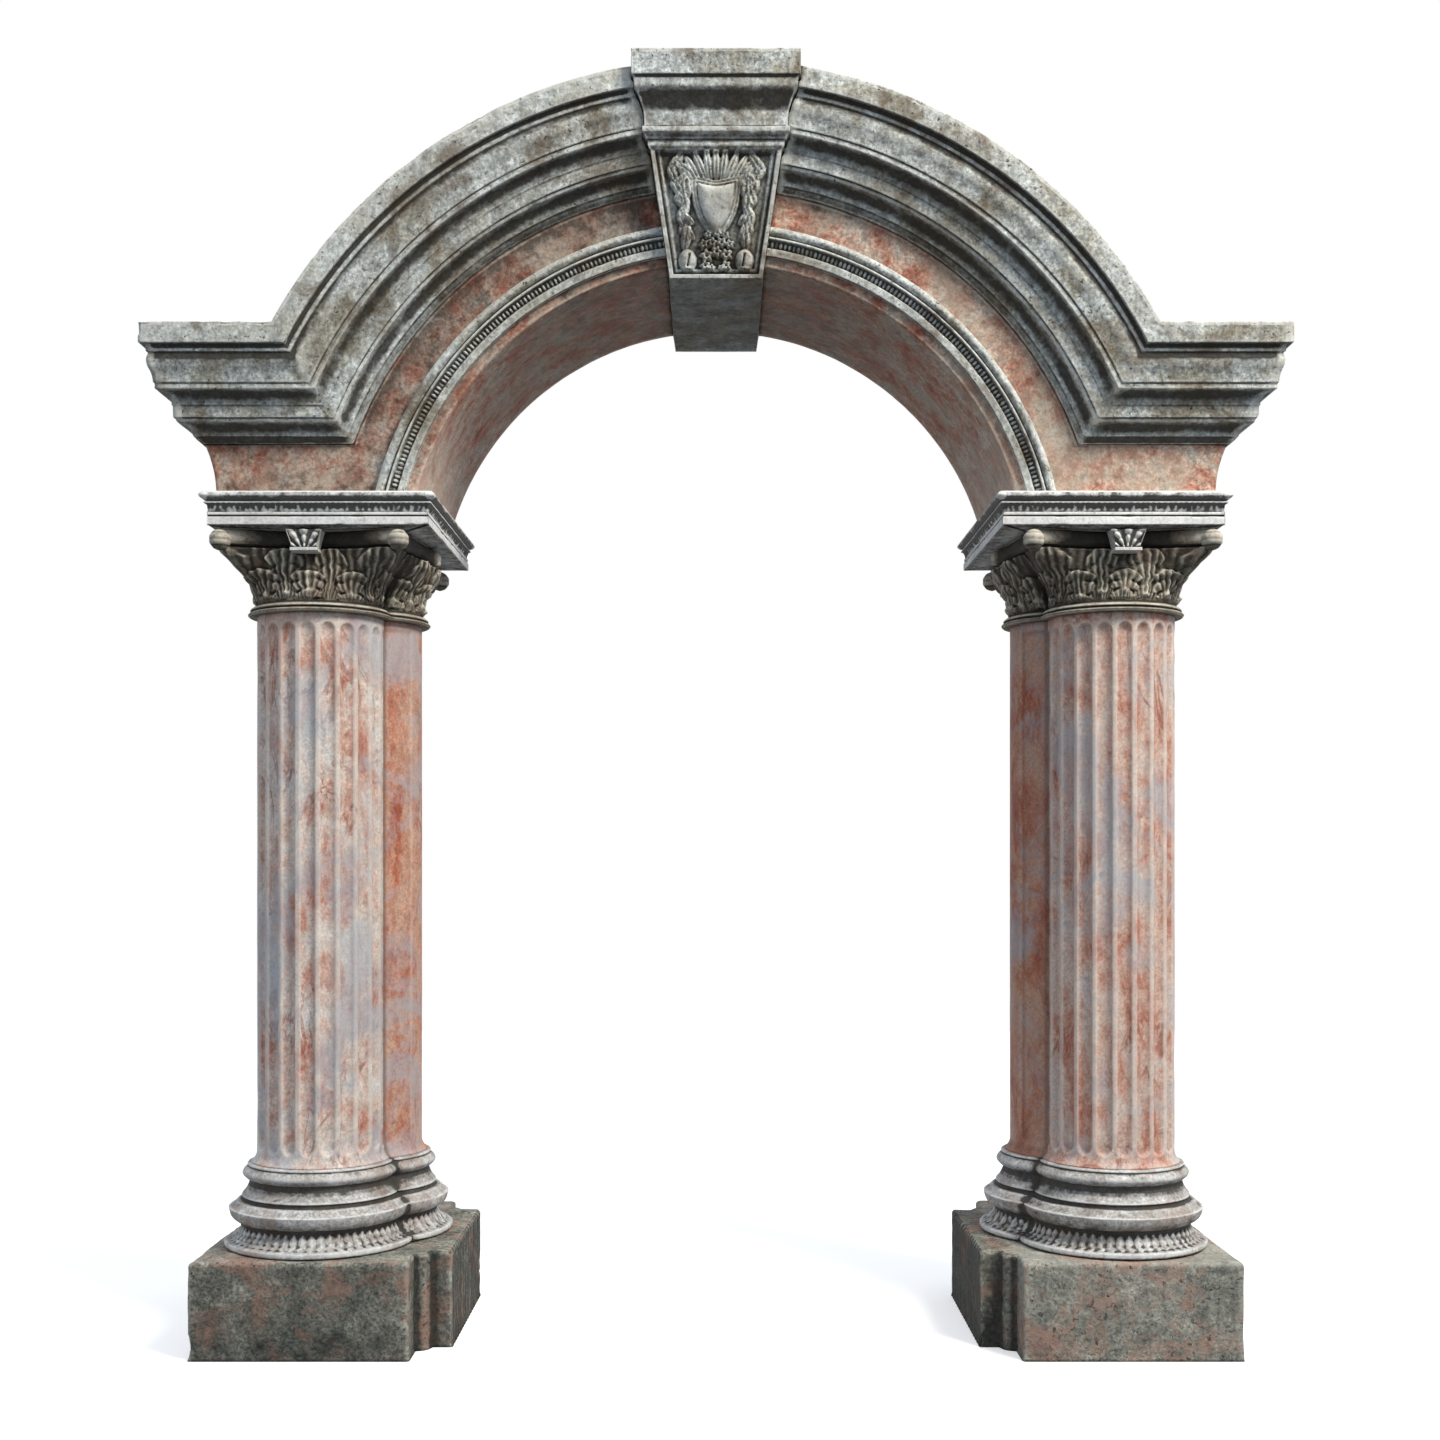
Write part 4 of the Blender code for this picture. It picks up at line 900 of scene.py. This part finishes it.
# Painted shade (positive) and painted highlights (negative) along the moulding line: distance in, half width,
# strength. The next list adds painted shadows under the projecting mouldings of the level runs.
CORNICE_TONES = [
    (0.0300, 0.0280, -0.30), (0.0640, 0.0052, 1.60), (0.0745, 0.0036, -0.55), (0.0870, 0.0100, 0.75),
    (0.1250, 0.0220, -0.22), (0.1555, 0.0030, -0.45), (0.1608, 0.0020, 1.00), (0.1690, 0.0060, -0.30),
    (0.1890, 0.0120, 0.72), (0.2072, 0.0036, 0.10), (0.2122, 0.0014, 0.50), (0.2300, 0.0120, -0.25),
    (0.2462, 0.0016, 0.80), (0.2515, 0.0036, -0.60), (0.2700, 0.0120, 0.80), (0.2865, 0.0026, -0.40),
    (0.2900, 0.0016, 0.80), (0.2985, 0.0070, 0.60)]
LEVEL_SHADOWS = [(0.1000, 0.0260, 0.62), (0.2300, 0.0160, 0.25), (0.2960, 0.0120, 0.70)]
PLAIN_COLUMNS, END_ROWS = 12, 9
KEY_TOP, KEY_FACE_TOP, KEY_LOW = 3.5936, 3.3416, 3.0106
KEY_FACE_HALF = (KEY_FACE_TOP - CENTRE_Z) * math.tan(KEY_ANGLE)
KEY_LINE = np.array([
    (0.000, 0.000, 0.000), (0.044, 0.143, 0.090), (0.095, 0.143, 0.090), (0.099, 0.243, 0.165),
    (0.159, 0.343, 0.286), (0.171, 0.442, 0.361), (0.230, 0.442, 0.361), (0.234, 0.323, 0.316),
    (0.393, 0.363, 0.376), (0.512, 0.582, 0.602), (0.615, 0.841, 0.842), (0.702, 0.880, 0.887),
    (0.726, 1.000, 1.000), (1.000, 1.000, 1.000)])


def key_half(height):
    """Half width of the keystone: radial sides below the cap, the cap's line above."""
    below = (height - CENTRE_Z) * math.tan(KEY_ANGLE)
    rise = (height - KEY_FACE_TOP) / (KEY_TOP - KEY_FACE_TOP)
    above = KEY_FACE_HALF + 0.0502 * np.interp(rise, KEY_LINE[:, 0], KEY_LINE[:, 1])
    return np.where(height <= KEY_FACE_TOP, below, above)


def cornice(side):
    """Stations: end corner, level run, mitre, then the curve to the keystone's side."""
    fine = traced(CORNICE_LINE, 0.0037)
    coarse = traced(CORNICE_LINE, 0.0065)
    inward = np.concatenate([fine[:, 0], coarse[::-1, 0]])
    rise = np.concatenate([fine[:, 1], coarse[::-1, 1]])
    height = CORNICE_TOP - inward
    radius = CORNICE_R - inward
    turn = np.arccos((height - CENTRE_Z) / radius)
    x = np.full(len(inward), KEY_FACE_HALF)
    for _ in range(12):
        z = CENTRE_Z + np.sqrt(radius ** 2 - x ** 2)
        x = np.max([key_half(z + step) for step in (-0.006, -0.003, 0, 0.003, 0.006)], 0) + 0.0008
    stop = np.arcsin(x / radius)
    level = np.linspace(0, 1, 34)[:, None]
    level_x = (WALL_X + rise) + (radius * np.sin(turn) - (WALL_X + rise)) * level
    level_z = np.broadcast_to(height, level_x.shape)
    share = np.linspace(0, 1, 118)[1:, None]
    angle = turn + (stop - turn) * share
    run_x = np.concatenate([level_x, radius * np.sin(angle)])
    run_z = np.concatenate([level_z, CENTRE_Z + radius * np.cos(angle)])
    front_part = np.arange(len(inward)) < len(fine)
    run_y = np.broadcast_to(np.where(front_part, -1, 1) * (WALL_Y + rise), run_x.shape)
    faces = np.stack([side * run_x, run_y, run_z], -1)
    front, back = faces[:, :len(fine)], faces[:, len(fine):]
    across = np.linspace(0, 1, PLAIN_COLUMNS + 2)[1:-1, None]
    over = back[:, -1:, :] + (front[:, :1, :] - back[:, -1:, :]) * across[None]
    below = front[:, -1:, :] + (back[:, :1, :] - front[:, -1:, :]) * across[None]
    grid = np.concatenate([front, below, back, over], 1)

    def around(tones, below, over):
        """Tones by the distance in from the edge, for the front, underside, back and top."""
        tone = bands(inward, tones)
        return np.concatenate([tone[:len(fine)], np.full(PLAIN_COLUMNS, below),
                               tone[len(fine):], np.full(PLAIN_COLUMNS, over)])[None]

    # Painted shade on the grooves, coves and underside, painted highlights on the fillets, painted shadows on
    # the level runs; the left fascia is drawn paler and the right one darker.
    level_part = (np.arange(len(grid)) < len(level))[:, None]
    level_shadow = around(LEVEL_SHADOWS, 0, 0) * (1.4 if side < 0 else 1.0)
    fascia = around([(0.030, 0.028, 1.0)], 0, 0) * (-0.14 if side < 0 else 0.10)
    shade = around(CORNICE_TONES, 0.3, 0.0) + level_shadow * level_part + fascia
    return turned(side < 0, grid, shade)


def closed_ends(grid, rows, front, back):
    """Rows that shrink to the line Y = 0 at each end, so that the ends are covered evenly.

    On its way to that line the finer front line takes on the coarser back line, so that they meet.
    """
    share = np.linspace(0.98, 0.0, rows)[:, None, None]
    ends = []
    for row in (grid[:1], grid[-1:]):
        coarse = row[0, back][np.argsort(row[0, back, 2])]
        met = row.copy()
        met[0, front, 0] = np.interp(row[0, front, 2], coarse[:, 2], coarse[:, 0])
        ends.append((met + (row - met) * share) * (share * np.array([0, 1, 0]) + np.array([1, 0, 1])))
    return np.concatenate([ends[0][::-1], grid, ends[1]])


for side, label in SIDES:
    grid, shade = cornice(side)
    is_front, is_back = grid[0, :, 1] < -WALL_Y + 1e-4, grid[0, :, 1] > WALL_Y - 1e-4
    grid = closed_ends(grid, END_ROWS, is_front, is_back)
    shade = np.concatenate([np.repeat(shade[:1], END_ROWS, 0), shade, np.repeat(shade[-1:], END_ROWS, 0)])
    stone_piece("cornice_fine_" + label, grid, grey_limestone, 71 + side, shade, chips=0.006,
                replaces="cornice_" + label, hollow_scale=0.006, margin=0, underside_shade=0.45)

# %% [markdown]
# ## Keystone
# The keystone goes right through the wall. Its cap is a small entablature, returned on all sides, and
# its face carries a panel: a frame, and inside it a blank pointed shield with a fan of feathers above,
# garlands at the sides that end in buds, and a flower cluster below. The carving is a height field:
# every form is a simple formula in the panel's own x and z, and the highest form wins.

# %% Keystone carving as a height field
def petal(x, z, cx, cz, length, width, angle):
    """A leaf: half an ellipse dome along its length, with a sunk midrib."""
    c, s = math.cos(angle), math.sin(angle)
    along = ((x - cx) * c + (z - cz) * s) / length
    aside = (-(x - cx) * s + (z - cz) * c) / width
    dome = np.clip(1 - along ** 2 - aside ** 2, 0, 1) ** 0.5
    return dome * (1 - 0.45 * np.exp(-(aside / 0.16) ** 2))


def shield(x, z):
    """Pointed shield: half width (1 - (1 - t)^2.2)^0.62 of 70 mm, t from the point to the top edge.

    Inside the outline stand a rim, a groove, a second rim and a smooth crown.
    """
    climb = np.clip((z - 0.112) / 0.150, 0, 1)
    half = 0.070 * (1 - (1 - climb) ** 2.2) ** 0.62
    inside = np.minimum(half - np.abs(x), 0.264 - 0.004 * np.cos(x * 50) - z) * (z > 0.112)
    rim = np.clip(inside / 0.003, 0, 1) * 0.013
    groove = 0.006 * np.exp(-((inside - 0.0075) / 0.0024) ** 2)
    groove = groove + 0.005 * np.exp(-((inside - 0.0165) / 0.0022) ** 2)
    crown = np.clip((inside - 0.018) / 0.030, 0, 1)
    return np.where(inside > 0, rim - groove + 0.012 * np.sqrt(crown * (2 - crown)), 0)


GARLAND = [
    (0.112, 0.300, 0.030, 0.012, 2.0), (0.090, 0.288, 0.024, 0.010, 0.8), (0.118, 0.272, 0.022, 0.011, 1.2),
    (0.096, 0.262, 0.024, 0.010, 2.3), (0.110, 0.243, 0.022, 0.011, 1.0), (0.083, 0.238, 0.026, 0.014, 1.7),
    (0.104, 0.222, 0.020, 0.010, 2.1), (0.086, 0.206, 0.022, 0.012, 1.3), (0.104, 0.198, 0.018, 0.009, 1.0),
    (0.090, 0.180, 0.020, 0.010, 2.2), (0.099, 0.162, 0.019, 0.010, 1.3), (0.080, 0.156, 0.018, 0.008, 0.9),
    (0.092, 0.140, 0.018, 0.009, 2.0), (0.088, 0.112, 0.030, 0.011, 1.5), (0.072, 0.122, 0.020, 0.007, 1.1)]
FLOWERS = [
    (-0.026, 0.062, 0.017), (0.002, 0.072, 0.015), (0.029, 0.064, 0.016), (-0.034, 0.092, 0.013),
    (-0.010, 0.096, 0.014), (0.016, 0.096, 0.014), (0.038, 0.092, 0.012), (-0.022, 0.117, 0.011),
    (0.004, 0.120, 0.012), (0.026, 0.116, 0.010), (-0.030, 0.036, 0.013), (0.028, 0.036, 0.013),
    (-0.012, 0.030, 0.010), (0.014, 0.030, 0.009)]


def panel_carving(x, z):
    """Height above the sunk panel, in metres; x from the middle, z above the underside."""
    height = shield(x, z)
    for index in range(-4, 5):
        lean = math.pi / 2 - index * 0.19 + 0.06 * math.sin(index * 2.3)
        length = 0.044 + 0.004 * math.sin(index * 3.1)
        feather = petal(x, z, 0.0215 * index, 0.298 - 0.0014 * index * index, length, 0.0128, lean)
        height = np.maximum(height, (0.021 - 0.0012 * abs(index)) * feather)
    lobed = 0.74 + 0.26 * np.cos(620 * x + 3 * np.sin(200 * z)) * np.cos(560 * z + 2 * np.sin(150 * x))
    for hand in (-1, 1):
        for index, (px, pz, length, width, lean) in enumerate(GARLAND):
            shift = 0.004 * math.sin(index * 2.7 + 1.4 * hand)
            turn = math.pi / 2 + hand * (lean - math.pi / 2) + 0.25 * math.sin(index * 1.9 + hand)
            leaf = petal(x, z, hand * (px - 0.002) + shift, pz + 0.003 * math.sin(index * 4.1), 1.2 * length,
                         1.35 * width, turn)
            height = np.maximum(height, (0.020 + 0.005 * (index % 2)) * leaf * lobed)
        bud = np.clip(1 - ((x - hand * 0.080) / 0.0265) ** 2 - ((z - 0.050) / 0.0310) ** 2, 0, 1) ** 0.5
        slit = np.exp(-((x - hand * 0.077 - 0.18 * (z - 0.048)) / 0.0024) ** 2) * (np.abs(z - 0.050) < 0.017)
        height = np.maximum(height, bud * 0.026 - 0.016 * slit * (bud > 0))
    for px, pz, size in FLOWERS:
        away = np.hypot(x - px, z - pz) / size
        turn = np.arctan2(z - pz, x - px)
        lobes = 1 + 0.24 * np.cos(5 * turn + px * 90)
        flower = np.clip(1 - (away / lobes) ** 2, 0, 1) ** 0.5 - 0.85 * np.exp(-(away / 0.30) ** 2)
        height = np.maximum(height, 0.024 * flower)
    hole = np.clip(1 - np.hypot(x - 0.001, z - 0.047) / 0.011, 0, 1)
    return height * (1 - np.clip(hole * 3, 0, 1))


# Painted shade on the cap, in its cove and under its projecting members, and painted highlights on its rolls
# and fillets: rise share, half width, strength.
KEY_TONES = [
    (0.020, 0.030, 0.75), (0.075, 0.022, -0.45), (0.099, 0.008, 0.9), (0.130, 0.024, 0.75),
    (0.200, 0.028, -0.6), (0.234, 0.008, 1.1), (0.310, 0.060, -0.15), (0.480, 0.085, 1.00),
    (0.570, 0.050, 0.55), (0.655, 0.035, -0.4), (0.702, 0.008, 0.8), (0.718, 0.010, 1.3),
    (0.860, 0.120, 0.20)]


def keystone():
    """Rows climb the keystone's line, columns go round it; the front columns carry the carving."""
    low = np.linspace(KEY_LOW, KEY_FACE_TOP, 128, endpoint=False)
    rise = traced([(a * 0.252, 0.0665 * (b + c) / 2, 0) for a, b, c in KEY_LINE], 0.0036)[:, 0] / 0.252
    heights = np.concatenate([low, KEY_FACE_TOP + rise * (KEY_TOP - KEY_FACE_TOP)])
    half = key_half(heights)
    half[-1] = half[-2]
    climb = np.clip((heights - KEY_LOW) / (KEY_FACE_TOP - KEY_LOW), 0, 1)
    rise_share = np.clip((heights - KEY_FACE_TOP) / (KEY_TOP - KEY_FACE_TOP), -1, 1)
    reach = WALL_Y + 0.032 + 0.072 * climb
    reach = reach + 0.0665 * np.interp(rise_share, KEY_LINE[:, 0], KEY_LINE[:, 2], left=0)
    across, through = np.cos(np.linspace(0, math.pi, 24)), -np.cos(np.linspace(0, math.pi, 16))[1:-1]
    u = np.concatenate([np.linspace(-1, 1, 120), np.full(14, 1.0), across, np.full(14, -1.0)])
    v = np.concatenate([np.full(120, -1.0), through, np.full(24, 1.0), through[::-1]])
    x = half[:, None] * u[None]
    y = reach[:, None] * v[None]
    z = heights[:, None] * np.ones_like(x)
    up = z - KEY_LOW
    border = np.minimum(half[:, None] - np.abs(x), up)
    sunk = 0.016 * np.clip((border - 0.012) / 0.003, 0, 1) - 0.005 * np.clip((border - 0.017) / 0.003, 0, 1)
    sunk = sunk + 0.008 * np.clip((border - 0.026) / 0.006, 0, 1)
    sunk = sunk * np.clip((KEY_FACE_TOP - z) / 0.006, 0, 1)
    is_front = (v[None] < -0.999) & (z < KEY_FACE_TOP)
    is_back = (v[None] > 0.999) & (z < KEY_FACE_TOP)
    carving = panel_carving(x, up) * np.clip((border - 0.018) / 0.005, 0, 1)
    y = y + np.where(is_front, sunk - carving, 0) - np.where(is_back, sunk, 0)
    grid = np.stack([x, y, z], -1)
    # Painted shade on the panel's sunk ground and painted highlights on the raised carving, a dark line
    # inside the frame and a pale outer fillet; painted shade on the sides, back, bottom edge and underside.
    shade = np.where(is_front & (border > 0.026), 0.50 - carving / 0.014, 0.0)
    shade = shade + np.where(is_front, bands(border, [(0.0145, 0.0022, 1.0), (0.0060, 0.0060, -0.4)]), 0)
    shade = shade + np.where(z >= KEY_FACE_TOP, bands(rise_share, KEY_TONES)[:, None], 0)
    shade = shade + np.where(v[None] > -0.999, 0.1, 0) + 0.3 * np.exp(-up / 0.006) * (np.abs(v[None]) < 0.999)
    shade[:2] = 0.45
    return capped(grid, shade, (0.0, 0.0), np.linspace(0.9, 0.04, 10), (0.45, 0.0))


grid, shade = keystone()
stone_piece("keystone_fine", grid, grey_limestone, 81, shade, rough=0.0014, chips=0.005,
            replaces="keystone", hollow_scale=0.007, margin=1, underside_shade=0.30)

# %% [markdown]
# ## Capitals
# Over two thin rings the bell opens out under leaves. In plan it grows from the merged circles at the
# neck to a hollow-sided shape whose corners carry round volutes. The leaves are again a height
# pattern: each leaf is a fan of ribs spreading from its foot, with a lobed edge, drilled eyes between
# the ribs and a tip that curls forward. A row of short leaves stands before a row of tall ones.

# %% Capital surface
TOP_CORNERS = np.array([(1.389, 0.377), (1.389, -0.377), (0.8855, -0.377), (0.833, 0.0), (0.8855, 0.377)])


def top_line():
    """The hollow-sided top outline in polar form round the pier's middle: angle and reach."""
    trail = []
    for index, hollow in enumerate((0.045, 0.045, 0.0, 0.0, 0.045)):
        start, end = TOP_CORNERS[index], TOP_CORNERS[(index + 1) % 5]
        share = np.linspace(0, 1, 60, endpoint=False)[:, None]
        point = start + (end - start) * share
        away = point - [PIER_X, 0]
        away = away / np.linalg.norm(away, axis=1, keepdims=True)
        trail.append(point - away * hollow * np.sin(np.pi * share))
    trail = np.concatenate(trail) - [PIER_X, 0]
    angle = np.arctan2(trail[:, 1], trail[:, 0])
    order = np.argsort(angle)
    return angle[order], np.linalg.norm(trail, axis=1)[order]


TOP_ANGLE, TOP_REACH = top_line()
CORNER_ANGLE = np.arctan2(TOP_CORNERS[:, 1], TOP_CORNERS[:, 0] - PIER_X)


def leaf_row(angle, up, count, shift, foot, top, waist, spread, lift):
    """One row of leaves round a column: their height, and 0 between them.

    In a leaf's own frame u runs across from -1 to 1 and v up from 0 to 1. Fingers are waves of
    u / (0.3 + 0.7 v), so they part at the foot and spread upwards. Each finger ends in lobes, and an
    eye is drilled where two lobes meet.
    """
    turn = (angle + math.pi / 2) * count / (2 * math.pi) + shift
    u = np.abs(turn - np.round(turn)) * 2
    v = np.clip((up - foot) / (top - foot), 0, 1)
    fingers = 0.5 + 0.5 * np.cos(2 * math.pi * 2.5 * u / (0.3 + 0.7 * v))
    lobes = np.abs(np.sin(math.pi * (2.8 * v + 0.6 * u)))
    half = (waist + spread * v) * np.sqrt(1 - v ** 6) * (0.82 + 0.18 * lobes)
    inside = np.clip((half - u) / 0.10, 0, 1) * (up > foot) * (up < top)
    eyes = np.exp(-((u - 0.70 * half) / 0.11) ** 2) * (1 - lobes) ** 3
    midrib = np.exp(-(u / 0.09) ** 2)
    curl = np.exp(-((v - 0.86) / 0.11) ** 2)
    carved = 0.34 * fingers * (0.5 + 0.5 * lobes) + 0.16 * midrib + 0.26 * curl - 0.75 * eyes
    return inside * (lift + 0.42 + carved)


def fan_leaves(points, angle, up):
    """Two rows of leaves over a ribbed ground; soot and painted shade lie where it is lower than the mean
    round it, painted highlights where it stands higher.

    Soft noise bends the leaves a little, so that no two are alike.
    """
    angle = angle + 0.050 * lumps(points, 0.045, 5) + 0.022 * lumps(points, 0.016, 6)
    up = up + 0.050 * lumps(points, 0.035, 7) + 0.022 * lumps(points, 0.014, 8)
    tall = leaf_row(angle, up, 9, 0.5, 0.02, 1.04, 0.50, 0.50, 0.05)
    short = leaf_row(angle, up, 9, 0.0, 0.0, 0.60, 0.62, 0.34, 0.30)
    ground = 0.26 + 0.12 * np.cos(angle * 45) * np.clip(up, 0, 1)
    total = np.maximum(np.maximum(tall, short), ground)
    turn = (angle + math.pi / 2) * 9 / math.pi
    seed = np.exp(-(((turn - np.round(turn)) * 2) / 0.34) ** 2 - ((up - 0.14) / 0.055) ** 2)
    seed = seed * (lumps(points, 0.060, 9) > -0.25)
    total = total + 0.50 * seed
    near = blurred(total, 3)
    wide = blurred(total, 9)
    # Soot and painted shade in the low parts, painted highlights on the ridges and the seeds.
    soot_and_relief_shade = 0.20 - 1.2 * (total - near) - 0.8 * (near - wide) - 0.8 * seed
    return total, np.clip(soot_and_relief_shade, -0.8, 1.0)


def capital(side):
    """Rows: two thin rings, bell with leaves, rolls, top. Columns: arcs of the three columns.

    The plan of a row is reach = circle + (top - circle) * share, with the share taken from how far
    the bell has opened at that height. Leaves, rolls and tips are added along the outward direction.
    The roll is fattest at the corners, where it runs into a volute. A cleft parts the bells of the
    three columns. The rear bell, which nobody sees, is left as plain tongues that were never carved.
    """
    rings = traced([(0.2010, 2.0793, 0), (0.2035, 2.0800, 0), (0.2035, 2.0905, -0.38), (0.1965, 2.0912, 0),
                    (0.1975, 2.0930, 0), (0.1990, 2.1020, -0.36), (0.1935, 2.1060, 0), (0.1850, 2.1100, 0)],
                   0.0024)
    bell_z = np.linspace(2.112, 2.258, 82)
    roll_z = np.concatenate([np.linspace(2.2600, 2.3030, 24), np.linspace(2.3045, 2.3140, 4)])
    heights = np.concatenate([rings[:, 1], bell_z, roll_z])
    radii = np.concatenate([rings[:, 0], np.full(len(bell_z) + len(roll_z), 0.1832)])
    opening = np.interp(heights, [2.1060, 2.1482, 2.1706, 2.1920, 2.2130, 2.2350, 2.2560, 2.2600],
                        [0.0, 0.10, 0.24, 0.44, 0.68, 0.88, 0.98, 1.0])
    counts = (224, 80, 38)
    x, y, angle, owner = cluster(radii, counts)
    tall = heights[:, None] * np.ones_like(x)
    away = np.hypot(x - PIER_X, y)
    polar = np.arctan2(y, x - PIER_X)
    wide = np.interp(polar, TOP_ANGLE, TOP_REACH, period=2 * math.pi)
    reach = away + (wide - away) * opening[:, None]
    up = (tall - 2.112) / 0.146
    in_bell = (tall > 2.1115) & (tall < 2.2590)
    cleft = crease_shade(counts)
    reach = reach - 0.034 * cleft * bands(up, [(0.50, 0.50, 1.0)])
    points = np.stack([PIER_X + reach * np.cos(polar), reach * np.sin(polar), tall * side], -1)
    leaf, soot_and_relief_shade = fan_leaves(points, angle, up)
    tongues = 0.5 + 0.5 * np.cos(9 * (angle + math.pi / 2)) * np.clip(2.5 * up, 0, 1)
    leaf = np.where(owner == 2, 0.30 + 0.65 * tongues, leaf)
    soot_and_relief_shade = np.where(owner == 2, 0.75 - 0.95 * tongues, soot_and_relief_shade)
    reach = reach + np.where(in_bell, (leaf - 0.6) * 0.017, 0) * np.clip(up / 0.06, 0, 1)
    reach = reach - np.where(tall > 2.2585, 0.014, 0) * np.clip((2.2650 - tall) / 0.004, 0, 1)
    turn = (polar[..., None] - CORNER_ANGLE + math.pi) % (2 * math.pi) - math.pi
    corner = np.exp(-(np.abs(turn).min(-1) / 0.33) ** 2)
    slim = 0.0160 + 0.0095 * corner
    roll = np.clip(1 - ((tall - 2.2865) / slim) ** 2, 0, 1) ** 0.5
    reach = reach + np.where(tall > 2.2590, roll * (0.010 + 0.010 * corner) - 0.012, 0)
    reach = reach - np.where(tall > 2.3035, 0.004, 0)
    grid = np.stack([PIER_X + reach * np.cos(polar), reach * np.sin(polar), tall], -1)
    # Painted shade at the top of the bell and under the roll, in the clefts between the bells and in the ring
    # grooves, a painted highlight on a ring fillet; the roll is shaded in its middle, under the impost, and
    # lit at the corners.
    shade = np.where(in_bell, soot_and_relief_shade + 0.35 * np.clip((up - 0.75) / 0.25, 0, 1), 0.0)
    shade = shade + 1.3 * cleft * (tall > 2.11)
    shade = shade + bands(tall, [(2.2600, 0.0040, 1.1), (2.0915, 0.0020, 1.4), (2.1085, 0.0030, 1.2),
                                 (2.0830, 0.0035, 0.45), (2.0955, 0.0022, 0.5), (2.1000, 0.0026, -0.8)])
    shade = shade + np.where(tall > 2.2620, 2.0 - 3.2 * corner ** 2.5 * roll, 0)
    return on_side(side, *capped(grid, shade, (PIER_X, 0.0), CAP_SHARES, (0.6, 0.6)))


for side, label in SIDES:
    grid, shade = capital(side)
    stone_piece("capital_fine_" + label, grid, capital_limestone, 91 + side, shade,
                chips=0.003, replaces="capital_" + label, hollow_scale=0.005, margin=5, underside_shade=0.35)

# %% [markdown]
# The round ends of the rolls at the corners, and the pale carved block in the middle of each side,
# are cut from the same stone as the capital, so they are meshes of their own that sink into it.

# %% Volutes and fleurons
def volute(centre, radii, bearing, rows=30, columns=40):
    """Ball stretched along its bearing, with ring grooves round its upright axis.

    The grooves follow the latitude: the ball swells by 2.2 per cent of cos(10 * latitude).
    """
    lat = np.linspace(0.02, math.pi - 0.02, rows)[:, None]
    lon = np.linspace(0, 2 * math.pi, columns, endpoint=False)[None]
    swell = 1 + 0.022 * np.cos(lat * 10)
    along = radii[0] * swell * np.sin(lat) * np.cos(lon)
    aside = radii[1] * swell * np.sin(lat) * np.sin(lon)
    c, s = math.cos(bearing), math.sin(bearing)
    grid = np.stack([centre[0] + along * c - aside * s, centre[1] + along * s + aside * c,
                     centre[2] + radii[2] * np.cos(lat) * np.ones_like(lon)], -1)
    # Painted shade in the grooves and on the lower part of the ball; the rest is drawn pale.
    shade = 0.45 * (np.cos(lat * 10) < -0.4) * np.ones_like(lon) - 0.8 + 0.9 * (lat > 2.1)
    return turned(False, grid, shade)


def fleuron(side, front):
    """Upright block, wider at its top, with leaves: u across its face, v up it."""
    v = np.linspace(0, 1, 44)[:, None]
    u = np.linspace(0, 1, 132 if front else 60, endpoint=False)[None]
    wide = np.where(v < 0.17, 0.038, 0.033 + 0.016 * v ** 1.4)
    plan = np.clip(np.abs((u * 4 + 0.5) % 4 - 2) * 2 - 2, -1, 1)
    depth_plan = np.clip(np.abs((u * 4 - 0.5) % 4 - 2) * 2 - 2, -1, 1)
    face_x = plan * np.ones_like(v)
    out = 0.397 - np.where(v < 0.17, 0.004, 0.013 * (1 - v))
    bearing = np.arctan2(face_x, 0.35 + 1.6 * v)
    leaf = 0.5 + 0.5 * np.cos(bearing * 15)
    leaf = leaf * (0.5 + 0.5 * np.abs(np.sin(v * 8 + np.abs(face_x) * 3)))
    on_face = (depth_plan > 0.99) & (v > 0.19)
    carved = np.where(on_face, 0.011 * (1 - leaf), 0.0) + 0.006 * np.exp(-((v - 0.18) / 0.02) ** 2)
    x = COLUMN_X + wide * face_x
    y = out - carved - (1 - depth_plan) * 0.030
    z = 2.2434 + 0.058 * v * np.ones_like(u)
    # Painted shade between the leaves and in the groove over the foot, painted highlights on the leaves.
    shade = np.where(on_face, 0.85 - 1.5 * leaf, 0.0) + 0.8 * np.exp(-((v - 0.18) / 0.025) ** 2)
    grid = np.stack([side * x, (-y if front else y), z], -1)
    return turned((side > 0) != front, grid, shade)


for side, label in SIDES:
    corners = [(1.386, -0.374), (0.888, -0.374), (1.386, 0.374), (0.888, 0.374), (0.852, 0.0)]
    for number, (cx, cy) in enumerate(corners):
        size = 0.0310 if number < 4 else 0.0260
        bearing = math.atan2(cy, side * (cx - PIER_X))
        grid, shade = volute((side * cx, cy, 2.2760), (size, size * 0.95, size * 0.98), bearing)
        stone_piece("volute_%s_%d" % (label, number), grid, capital_limestone, 100 + number,
                    shade, rough=0.0008, chips=0.002, reach=2, hollow_scale=0.02, underside_shade=0.5)
    for front, where in ((True, "front"), (False, "back")):
        grid, shade = fleuron(side, front)
        stone_piece("fleuron_%s_%s" % (where, label), grid, fleuron_limestone, 110 + side,
                    shade, rough=0.0008, chips=0.003, reach=2, hollow_scale=0.006)

# %% Count the pieces and triangles
print("pieces:", len(pieces), "triangles:", sum(len(piece.data.loops) - 2 * len(piece.data.polygons)
                                             for piece in pieces.values()))
